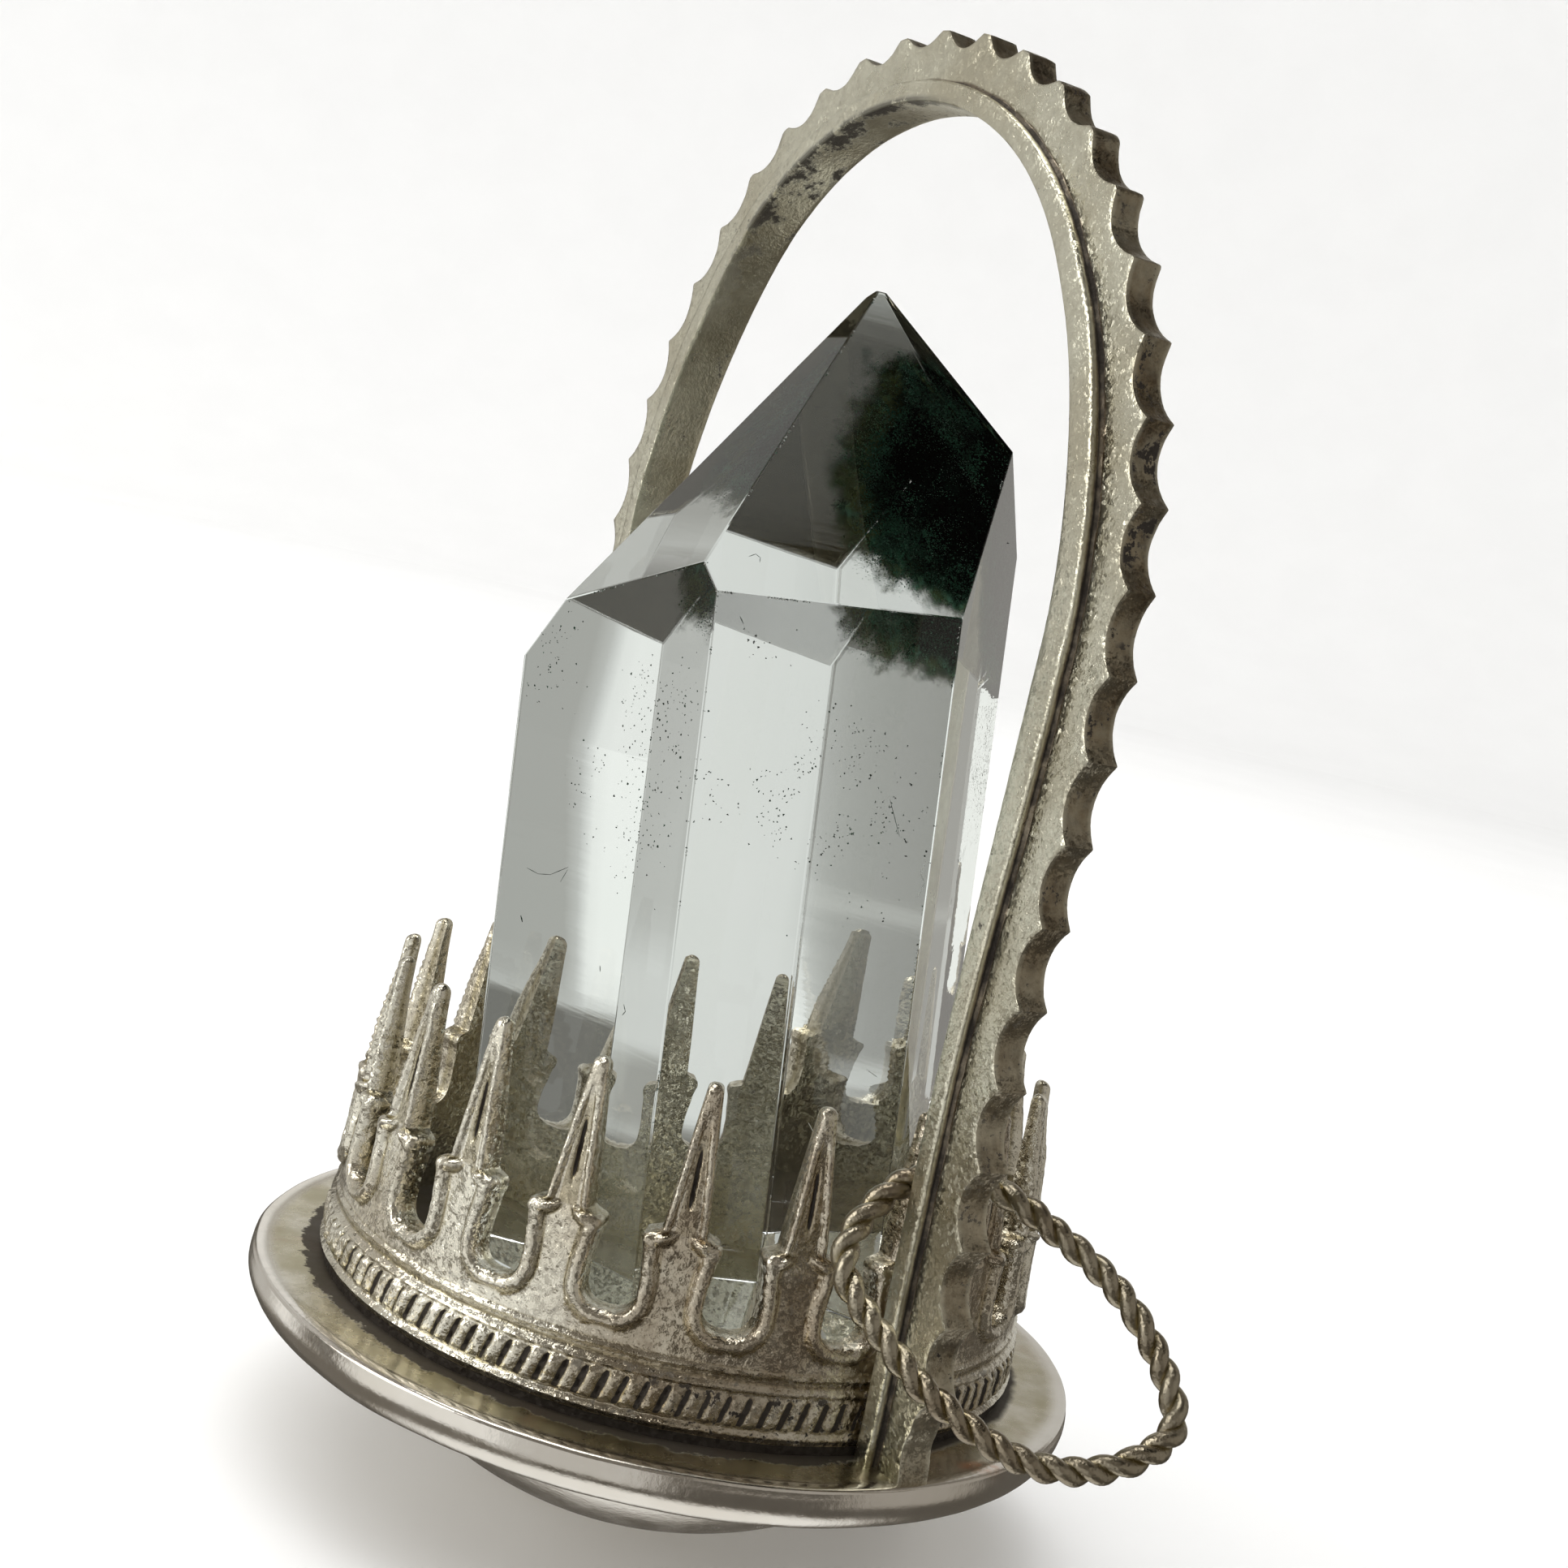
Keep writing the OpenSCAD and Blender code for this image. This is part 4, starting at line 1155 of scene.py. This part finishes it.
def build_marks(planes, dark):
    """Hairline scratches just under the polished faces, and chips along the edges."""
    face = {q[0]: q for q in planes}
    frost = Mat("frosted_chip")
    nz = frost.noise(1500.0, 3, 0.6)
    frost.principled(Base_Color=frost.mix(frost.rng(nz, 0.3, 0.7), (0.70, 0.73, 0.70), (0.95, 0.96, 0.94)), Roughness=0.7, Specular_IOR_Level=0.3)
    out = []
    for kind, mat in ((0, dark), (1, frost.m)):
        verts, quads = [], []
        for name, w, k, pts in SCRATCHES:
            if k != kind:
                continue
            _, n, p = face[name]
            Q = [np.array(x, float) for x in pts]
            Q = [x - n * ((x - p) @ n + 0.075) for x in Q]
            for a, b in zip(Q[:-1], Q[1:]):
                t = (b - a) / np.linalg.norm(b - a)
                u = np.cross(n, t)
                c = len(verts)
                for e, ww in ((a - t * w, w * 0.5), ((a + b) / 2, w), (b + t * w, w * 0.5)):
                    verts += [e + u * ww, e + n * ww * 0.4, e - u * ww, e - n * ww * 0.4]
                for r in (0, 4):
                    for j in range(4):
                        quads.append((c + r + j, c + r + (j + 1) % 4, c + r + 4 + (j + 1) % 4, c + r + 4 + j))
                quads.append((c + 3, c + 2, c + 1, c))
                quads.append((c + 8, c + 9, c + 10, c + 11))
        o = make_mesh("hairline_scratches" if kind == 0 else "frosted_scratches", np.array(verts), [np.array(quads)], mat)
        o.data.polygons.foreach_set("use_smooth", [False] * len(o.data.polygons))
        out.append(o)
    # chips: short runs of tiny flakes just inside the edges
    rng = np.random.RandomState(23)
    pts, _ = convex_faces(planes)
    P1, P2 = [], []
    for a, b, count in (("front", "side0", 150), ("side0", "side1", 130), ("side5", "side0", 90), ("front", "left", 60), ("front", "side1", 60), ("left", "side5", 40)):
        if a not in face or b not in face:
            continue
        on = [x for x in pts if abs((x - face[a][2]) @ face[a][1]) < 1e-4 and abs((x - face[b][2]) @ face[b][1]) < 1e-4]
        if len(on) != 2:
            continue
        u = rng.uniform(0, 1, count * 4)
        X = on[0][None] * (1 - u[:, None]) + on[1][None] * u[:, None]
        keep = vnoise(X, 1.6, 101) > 0.62
        X = X[keep][:count]
        inward = -(face[a][1] + face[b][1])
        inward /= np.linalg.norm(inward)
        X = X + inward * rng.uniform(0.10, 0.17, (len(X), 1))
        half = rng.uniform(0, 1, len(X)) < 0.55
        P1.append(X[half])
        P2.append(X[~half])
    out.append(flakes("edge_chips_dark", np.vstack(P1), 0.034, dark, 31, flat=0.5))
    out.append(flakes("edge_chips_pale", np.vstack(P2), 0.034, frost.m, 32, flat=0.5))
    return out


def build_cap(planes):
    """A dark sheet of painted shade under the two right hand faces by the tip, above the phantom."""
    m = Mat("painted_shade_cap")
    x, y, z = m.xyz()
    n1 = m.noise(520.0, 5, 0.6, w=3.0)
    # painted shade: this sheet darkens the tip where refraction would show a bright edge line
    zz = m.math("ADD", z, m.math("MULTIPLY", m.math("SUBTRACT", n1, 0.5), 0.0016))
    alpha = m.rng(zz, 0.0426, 0.0452, 0.0, 0.92)
    m.principled(Base_Color=m.mix(m.rng(n1, 0.3, 0.7), (0.044, 0.042, 0.028), (0.070, 0.066, 0.046)), Roughness=1.0, Specular_IOR_Level=0.0, Alpha=alpha)
    verts, faces = [], []
    for name in ("far_right", "right"):
        f = [q for q in planes if q[0] == name][0]
        poly = [(q[0], q[1], q[2] - q[1] * (0.12 if q[0] == name else 0.16)) for q in planes]
        poly.append(("inner", -f[1], f[2] - f[1] * 0.14))
        poly.append(("floor", np.array([0, 0, -1.0]), np.array([0, 0, 41.9])))
        pts, fc = convex_faces(poly)
        b = len(verts)
        verts += [tuple(v * MM) for v in pts]
        faces += [[b + i for i in q] for q in fc]
    me = bpy.data.meshes.new("painted_shade_cap")
    me.from_pydata(verts, [], faces)
    me.materials.append(m.m)
    bm = bmesh.new()
    bm.from_mesh(me)
    bmesh.ops.recalc_face_normals(bm, faces=bm.faces)
    bm.to_mesh(me)
    bm.free()
    o = bpy.data.objects.new("painted_shade_cap", me)
    bpy.context.scene.collection.objects.link(o)
    return o


def build_phantom():
    """Chlorite phantom: a mossy layer just inside the far right side of the point."""
    P = crystal_planes()
    side2 = [p for p in P if p[0] == "side2"][0]
    far = [p for p in P if p[0] == "far_right"][0]
    right = [p for p in P if p[0] == "right"][0]
    back = [p for p in P if p[0] == "back"][0]
    rng = np.random.RandomState(77)

    def sample(n, box, margin):
        X = np.stack([rng.uniform(a, b, n) for a, b in box], -1)
        return X[inside(P, X, margin)]

    def fields(X):
        d2 = -(X - side2[2]) @ side2[1]
        df = -(X - far[2]) @ far[1]
        dr = -(X - right[2]) @ right[1]
        db = -(X - back[2]) @ back[1]
        depth = np.minimum(np.minimum(d2, df), np.minimum(dr, db))
        th = 1.45 + 0.8 * fnoise(X, 0.35, 81, 3)
        low = X[:, 2] - (33.3 + 0.6 * fnoise(X, 0.45, 83, 3))
        top = X[:, 2] + 0.9 * fnoise(X, 0.6, 85, 2)
        # the cloud ends before the back left edge, higher up nearer the apex
        side = X[:, 1] + 0.55 * fnoise(X, 0.5, 87, 3) - (1.55 + 1.9 * (1 - smooth(33.0, 39.0, X[:, 2])))
        return depth, th, low, top, side

    box = [(-9.5, 5.5), (0, 10), (30.5, 46.5)]
    heart = Mat("chlorite_heart")
    nz = heart.noise(700.0, 4, 0.6)
    heart.principled(Base_Color=heart.mix(heart.rng(nz, 0.45, 0.75), (0.0012, 0.002, 0.0016), (0.004, 0.012, 0.008)), Roughness=1.0, Specular_IOR_Level=0.0)
    dark = Mat("chlorite_dark")
    nz = dark.noise(900.0, 4, 0.6)
    dark.principled(Base_Color=dark.mix(dark.rng(nz, 0.35, 0.7), (0.003, 0.011, 0.006), (0.030, 0.105, 0.062)), Roughness=0.9, Specular_IOR_Level=0.1)
    pale = Mat("chlorite_pale")
    nz = pale.noise(700.0, 3, 0.6)
    pale.principled(Base_Color=pale.mix(pale.rng(nz, 0.3, 0.7), (0.03, 0.075, 0.05), (0.12, 0.20, 0.15)), Roughness=0.9, Specular_IOR_Level=0.1)
    out = []
    # dense heart
    X = sample(90000, box, 0.32)
    depth, th, low, top, side = fields(X)
    d = smooth(0.2, 1.0, low) * (1 - smooth(42.6, 43.8, top)) * smooth(0.2, -0.3, depth - th) * smooth(1.5, 2.6, side) * smooth(0.7, 1.6, low) * (1 - smooth(41.2, 42.6, top))
    X = X[rng.uniform(0, 1, len(X)) < d]
    out.append(flakes("phantom_heart", X[:9500], 0.27, heart.m, 4, flat=0.7))
    # moss, in two meshes
    X = sample(1200000, [(-9.0, 3.0), (1.0, 9.6), (32.8, 44.6)], 0.25)
    depth, th, low, top, side = fields(X)
    clump = smooth(0.30, 0.62, vnoise(X, 1.1, 95) * 0.6 + vnoise(X, 2.9, 96) * 0.4)
    core = smooth(1.6, 2.8, side) * smooth(1.2, 2.6, low) * (1 - smooth(40.8, 42.4, top))
    d = smooth(-0.2, 1.2, low) * (1 - smooth(42.8, 44.2, top)) * smooth(0.6, -0.3, depth - th) * smooth(0.2, 1.9, side) * (0.12 + 0.88 * clump) * (1 - 0.9 * core)
    X = X[rng.uniform(0, 1, len(X)) < d]
    k = min(len(X), 48000) // 2
    out.append(flakes("phantom_moss_a", X[:k], 0.050, dark.m, 5, flat=0.6))
    out.append(flakes("phantom_moss_b", X[k : 2 * k], 0.050, dark.m, 15, flat=0.6))
    # pale green haze round it and down into the body, finer than the eye can part
    X = sample(900000, box, 0.10)
    depth, th, low, top, side = fields(X)
    clump = smooth(0.42, 0.66, vnoise(X, 1.4, 97) * 0.55 + vnoise(X, 3.6, 98) * 0.45)
    d = smooth(-0.8, 0.5, low) * (1 - smooth(43.2, 44.6, top)) * smooth(0.9, -0.2, depth - th) * smooth(-0.7, 0.5, side) * (1 - 0.7 * smooth(0.8, 1.8, side) * smooth(0, 1, low)) * clump
    X = X[rng.uniform(0, 1, len(X)) < d]
    out.append(flakes("phantom_haze", X[:26000], 0.026, pale.m, 6, flat=0.5))
    out.append(build_sheets(P))
    # sparse dark specks lower down, near the front faces
    X = sample(240000, [(-9, 9), (-9.5, 9.5), (20, 34)], 0.12)
    front = [p for p in P if p[0] in ("side0", "side5")]
    dd = np.minimum(*[-(X - p[2]) @ p[1] for p in front])
    cl = smooth(0.46, 0.80, vnoise(X, 0.36, 91)) * smooth(0.30, 0.62, vnoise(X, 1.3, 92)) * smooth(1.1, 0.05, dd) * smooth(22, 27, X[:, 2])
    X = X[rng.uniform(0, 1, len(X)) < cl * 0.8]
    out.append(flakes("dark_specks", X[:5200], 0.050, dark.m, 7, flat=0.5))
    out += build_marks(P, dark.m)
    return out


def build_veil():
    """Thin smoky growth layer just inside the back face of the point."""
    P = [[n, a.copy(), b.copy()] for n, a, b in crystal_planes()]
    for q in P:
        q[2] = q[2] - q[1] * (0.16 if q[0] != "back" else 0.14)
    slab = [tuple(q) for q in P]
    bk = [q for q in P if q[0] == "back"][0]
    slab.append(("inner", -bk[1], bk[2] - bk[1] * 0.03))
    pts, faces = convex_faces(slab)
    m = Mat("smoky_veil")
    nz = m.noise(420.0, 4, 0.6)
    m.principled(Base_Color=m.mix(m.rng(nz, 0.3, 0.7), (0.120, 0.105, 0.062), (0.170, 0.145, 0.090)), Roughness=1.0, Specular_IOR_Level=0.0, Alpha=0.26)
    me = bpy.data.meshes.new("smoky_veil")
    me.from_pydata([tuple(v * MM) for v in pts], [], faces)
    me.materials.append(m.m)
    bm = bmesh.new()
    bm.from_mesh(me)
    bmesh.ops.recalc_face_normals(bm, faces=bm.faces)
    bm.to_mesh(me)
    bm.free()
    o = bpy.data.objects.new("smoky_veil", me)
    bpy.context.scene.collection.objects.link(o)
    return o


# ---------------------------------------------------------------- build
base = build_base()
gallery = build_gallery()
arch = build_arch()
ring = build_ring()
crystal = build_crystal()
inner = build_phantom() + [build_veil(), build_cap(crystal_planes())]

for o in (base, gallery, arch):
    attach(o, "root")
    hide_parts("silver_setting")
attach(ring, "root")
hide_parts("twisted_ring")
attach(crystal, "root")
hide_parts("quartz_point")
for o in inner:
    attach(o, "root")


# ---------------------------------------------------------------- camera
scene = bpy.context.scene
cam = bpy.data.cameras.new("camera")
cam.sensor_width = 36.0
cam.sensor_fit = "HORIZONTAL"
cam.lens = 2771.145 / 1932.0 * 36.0
cam.clip_start = 0.001
cam.clip_end = 10.0
camo = bpy.data.objects.new("camera", cam)
right = Vector((0.50562366, 0.83408334, 0.22056676))
down = Vector((0.21381983, 0.12653203, -0.96864376))
fwd = Vector((-0.83583838, 0.53693075, -0.11436597))
rot = Matrix((right, -down, -fwd)).transposed()
pos = Vector((71.2065, -45.6834, 33.1740 + Z0)) * MM
camo.matrix_world = Matrix.Translation(pos) @ rot.to_4x4()
scene.collection.objects.link(camo)
scene.camera = camo


# ---------------------------------------------------------------- stage
def stage_material(name, col, rough=0.9):
    m = Mat(name)
    n = m.noise(40.0, 3, 0.5)
    c = m.mix(m.rng(n, 0.3, 0.7), tuple(v * 0.985 for v in col), col)
    m.principled(Base_Color=c, Roughness=rough, Specular_IOR_Level=0.2)
    return m.m


def sweep_part(name, prof, a0, a1, mat):
    """Part of a round sweep from azimuth a0 to a1 degrees, from a profile of radius and height in metres."""
    n = max(8, int((a1 - a0) / 3.75))
    closed = a1 - a0 >= 360
    V, F = [], []
    for r, z in prof:
        for j in range(n if closed else n + 1):
            t = math.radians(a0 + (a1 - a0) * j / n)
            V.append((r * math.cos(t), r * math.sin(t), z))
    w = n if closed else n + 1
    for k in range(len(prof) - 1):
        for j in range(n):
            j2 = (j + 1) % w
            F.append((k * w + j, (k + 1) * w + j, (k + 1) * w + j2, k * w + j2))
    me = bpy.data.meshes.new(name)
    me.from_pydata(V, [], F)
    me.polygons.foreach_set("use_smooth", [True] * len(me.polygons))
    me.materials.append(mat)
    o = bpy.data.objects.new(name, me)
    scene.collection.objects.link(o)
    return o


paper = stage_material("paper", (0.93, 0.93, 0.925))
floor = sweep_part("floor", [(0.0, 0.0), (0.05, 0.0), (0.15, 0.0), (0.35, 0.0), (0.60, 0.0)], 0, 360, paper)
curve = [(0.60, 0.0)]
for k in range(1, 13):
    a = math.radians(k / 12 * 90)
    curve.append((0.60 + 0.25 * math.sin(a), 0.25 - 0.25 * math.cos(a)))
curve += [(0.85, 0.5), (0.85, 0.9)]
back = sweep_part("backdrop", curve, 0, 360, paper)
for o in (floor, back):
    o.visible_glossy = False
    o.visible_transmission = False


def glow(name, V, F, lum, colour_dark, colour_light, glossy, transmission):
    """Self-lit part of the light tent: it only shapes reflections, or only what the crystal bends into view."""
    m = Mat(name + "_glow")
    l = m.attr("lum")
    em = m.node("ShaderNodeEmission")
    m.put(em.inputs["Color"], m.mix(m.rng(l, 0.1, 0.7), colour_dark, colour_light))
    m.put(em.inputs["Strength"], l)
    m.link(em.outputs[0], m.out.inputs["Surface"])
    m.m.cycles.emission_sampling = "NONE"
    me = bpy.data.meshes.new(name)
    me.from_pydata([tuple(v) for v in V], [], [tuple(f) for f in F])
    at = me.attributes.new("lum", "FLOAT", "POINT")
    at.data.foreach_set("value", np.asarray(lum, np.float32))
    me.polygons.foreach_set("use_smooth", [True] * len(me.polygons))
    me.materials.append(m.m)
    o = bpy.data.objects.new(name, me)
    scene.collection.objects.link(o)
    o.visible_camera = False
    o.visible_diffuse = False
    o.visible_shadow = False
    o.visible_volume_scatter = False
    o.visible_glossy = glossy
    o.visible_transmission = transmission
    return o


def arc(az, centre, half, soft):
    """1 within half degrees of the centre azimuth, 0 beyond a soft edge."""
    d = np.abs((np.asarray(az) - centre + 180) % 360 - 180)
    return 1 - smooth(half - soft / 2, half + soft / 2, d)


def between(v, lo, hi, soft):
    return smooth(lo - soft / 2, lo + soft / 2, v) * (1 - smooth(hi - soft / 2, hi + soft / 2, v))


def tent_gloss():
    az = np.arange(0, 360, 3.0)
    el = np.arange(-90, 91, 3.0)
    E, A = np.meshgrid(el, az, indexing="ij")
    x = np.cos(np.radians(E)) * np.cos(np.radians(A))
    y = np.cos(np.radians(E)) * np.sin(np.radians(A))
    z = np.sin(np.radians(E))
    V = np.stack([x, y, z], -1).reshape(-1, 3) * 0.42 + np.array([0, 0, 0.028])
    L = np.full(E.shape, 0.105)
    L = L + 0.08 * between(E, 20, 95, 20)
    L = np.maximum(L, 0.52 * arc(A, 208, 24, 14) * between(E, -28, 46, 14))
    L = np.maximum(L, 0.95 * arc(A, 217, 7, 6) * between(E, -26, 2, 8))
    L = np.maximum(L, 0.88 * arc(A, 271, 27, 9) * between(E, -30, 12, 10))
    L = np.maximum(L, 0.58 * arc(A, 312, 26, 12) * between(E, -42, 12, 10))
    L = np.maximum(L, 3.3 * arc(A, 258, 18, 8) * between(E, 9, 38, 9))
    L = np.maximum(L, 0.62 * arc(A, 184, 12, 10) * between(E, 16, 40, 10))
    L = np.maximum(L, 0.56 * arc(A, 130, 34, 16) * between(E, -18, 34, 14))
    L = np.maximum(L, 0.85 * arc(A, 164, 9, 6) * between(E, 0, 28, 8))
    L = np.maximum(L, 0.36 * arc(A, 32, 48, 20) * between(E, -8, 46, 12))
    L = np.maximum(L, 0.36 * arc(A, 44, 23, 12) * between(E, -32, 0, 12))
    top = np.degrees(np.arccos(np.clip(x * math.cos(math.radians(74)) * math.cos(math.radians(228)) + y * math.cos(math.radians(74)) * math.sin(math.radians(228)) + z * math.sin(math.radians(74)), -1, 1)))
    L = np.maximum(L, 4.2 * (1 - smooth(11, 18, top)))
    # a dark card over the right shoulder keeps the large front face of the point clear of glare
    c1 = np.array([math.cos(math.radians(66)) * math.cos(math.radians(30)), math.cos(math.radians(66)) * math.sin(math.radians(30)), math.sin(math.radians(66))])
    card = np.degrees(np.arccos(np.clip(x * c1[0] + y * c1[1] + z * c1[2], -1, 1)))
    L = 0.02 + (L - 0.02) * smooth(15, 25, card)
    L = np.maximum(L, 0.17 * arc(A, 245, 60, 40) * between(E, -60, -22, 12))
    L = np.maximum(L, 0.92 * between(E, -95, -58, 16))
    F = grid_faces(len(el), len(az), wrap=True)
    glow("tent_reflections", V, F, L.ravel(), (1.0, 0.90, 0.75), (1.0, 0.985, 0.93), True, False)


def tent_clear():
    # a glowing floor and wall seen only through the crystal: painted light, darker in patches
    az = np.concatenate([np.arange(0, 102.5, 2.5), np.arange(103, 126, 0.5), np.arange(127.5, 360, 2.5)])
    r = np.concatenate([[0.0, 0.012], np.linspace(0.018, 0.11, 47), np.linspace(0.12, 0.60, 30)])
    Rr, A = np.meshgrid(r, az, indexing="ij")
    V = np.stack([Rr * np.cos(np.radians(A)), Rr * np.sin(np.radians(A)), np.full(Rr.shape, 0.0008)], -1).reshape(-1, 3)
    mm = Rr * 1000
    L = np.full(Rr.shape, 0.68)
    L = np.maximum(L, 0.76 * arc(A, 151, 4.5, 2.5))
    L = np.maximum(L, 1.12 * arc(A, 257, 14, 8))
    L = L * (1 - arc(A, 14, 40, 30)) + 0.45 * arc(A, 14, 40, 30)

    def put(L, w, v):
        return L * (1 - w) + v * w

    L = put(L, arc(A, 142, 4.5, 2.5) * smooth(95, 130, mm), 0.50)
    L = put(L, arc(A, 121, 8.6, 1.0) * smooth(95, 130, mm), 0.42)
    L = put(L, arc(A, 107, 5.2, 1.0) * smooth(95, 130, mm), 0.98)
    # painted shadow of the object on the floor behind it
    L = put(L, arc(A, 140, 62, 14) * between(mm, -20, 51, 5), 0.175)
    L = put(L, arc(A, 112, 19, 6) * between(mm, 52, 108, 8), 0.17)
    L = put(L, arc(A, 138, 6, 5) * between(mm, 52, 72, 8), 0.33)
    L = put(L, arc(A, 194, 14, 6) * between(mm, 55, 98, 8), 0.20)
    L = put(L, arc(A, 191, 12, 6) * between(mm, 98, 900, 20), 0.23)
    n1 = len(V)
    F = grid_faces(len(r), len(az), wrap=True)
    h = np.linspace(0.0, 0.8, 17)
    H, A2 = np.meshgrid(h, az, indexing="ij")
    V2 = np.stack([0.60 * np.cos(np.radians(A2)), 0.60 * np.sin(np.radians(A2)), H + 0.0008], -1).reshape(-1, 3)
    L2 = np.full(H.shape, 0.68)
    L2 = np.maximum(L2, 0.76 * arc(A2, 151, 4.5, 2.5))
    L2 = np.maximum(L2, 1.12 * arc(A2, 250, 24, 10))
    L2 = put(L2, arc(A2, 142, 4.5, 2.5), 0.50)
    L2 = put(L2, arc(A2, 121, 8.6, 1.0), 0.42)
    L2 = put(L2, arc(A2, 107, 5.2, 1.0), 0.98)
    L2 = put(L2, arc(A2, 192, 13, 6), 0.26)
    L2 = put(L2, arc(A2, 30, 70, 40), 0.35)
    L2 = L2 * (1 - 0.35 * smooth(0.15, 0.6, H))
    F2 = grid_faces(len(h), len(az), n1, wrap=True)
    glow("tent_clear", np.vstack([V, V2]), np.vstack([F, F2]), np.concatenate([L.ravel(), L2.ravel()]), (0.99, 0.985, 0.90), (0.972, 1.0, 0.965), False, True)


tent_gloss()
tent_clear()


def polar(az, r, z):
    t = math.radians(az)
    return (r * math.cos(t), r * math.sin(t), z)


def area(name, loc, target, size, radiance, color=(1, 1, 1), size_y=None, spread=None):
    l = bpy.data.lights.new(name, "AREA")
    l.energy = radiance * math.pi * size * (size_y or size)
    l.color = color
    l.shape = "RECTANGLE" if size_y else "SQUARE"
    l.size = size
    if size_y:
        l.size_y = size_y
    if spread:
        l.spread = math.radians(spread)
    o = bpy.data.objects.new(name, l)
    o.location = loc
    d = Vector(target) - Vector(loc)
    o.rotation_euler = d.to_track_quat("-Z", "Y").to_euler()
    scene.collection.objects.link(o)
    o.visible_glossy = False
    return o


MID = (0, 0, 0.028)
area("top", polar(215, 0.30, 0.72), MID, 0.85, 2.1, (1, 1, 1))
area("key", polar(245, 0.50, 0.22), MID, 0.46, 1.3, (1.0, 0.985, 0.955), size_y=0.40)
area("backdrop_wash", (0.10, -0.05, 0.80), polar(130, 0.85, 0.25), 0.5, 2.4, (1, 1, 1))

world = bpy.data.worlds.new("studio")
scene.world = world
world.use_nodes = True
bg = world.node_tree.nodes["Background"]
bg.inputs[0].default_value = (0.80, 0.79, 0.77, 1)
bg.inputs[1].default_value = 0.42

scene.view_settings.view_transform = "Standard"
scene.view_settings.look = "None"
scene.view_settings.exposure = 0.0
scene.cycles.max_bounces = 12
scene.cycles.transmission_bounces = 8
scene.cycles.glossy_bounces = 9
scene.cycles.diffuse_bounces = 2
scene.cycles.transparent_max_bounces = 8
scene.cycles.use_adaptive_sampling = True
scene.cycles.adaptive_threshold = 0.075
scene.cycles.caustics_refractive = True
scene.cycles.blur_glossy = 0.3
scene.cycles.sample_clamp_indirect = 6.0
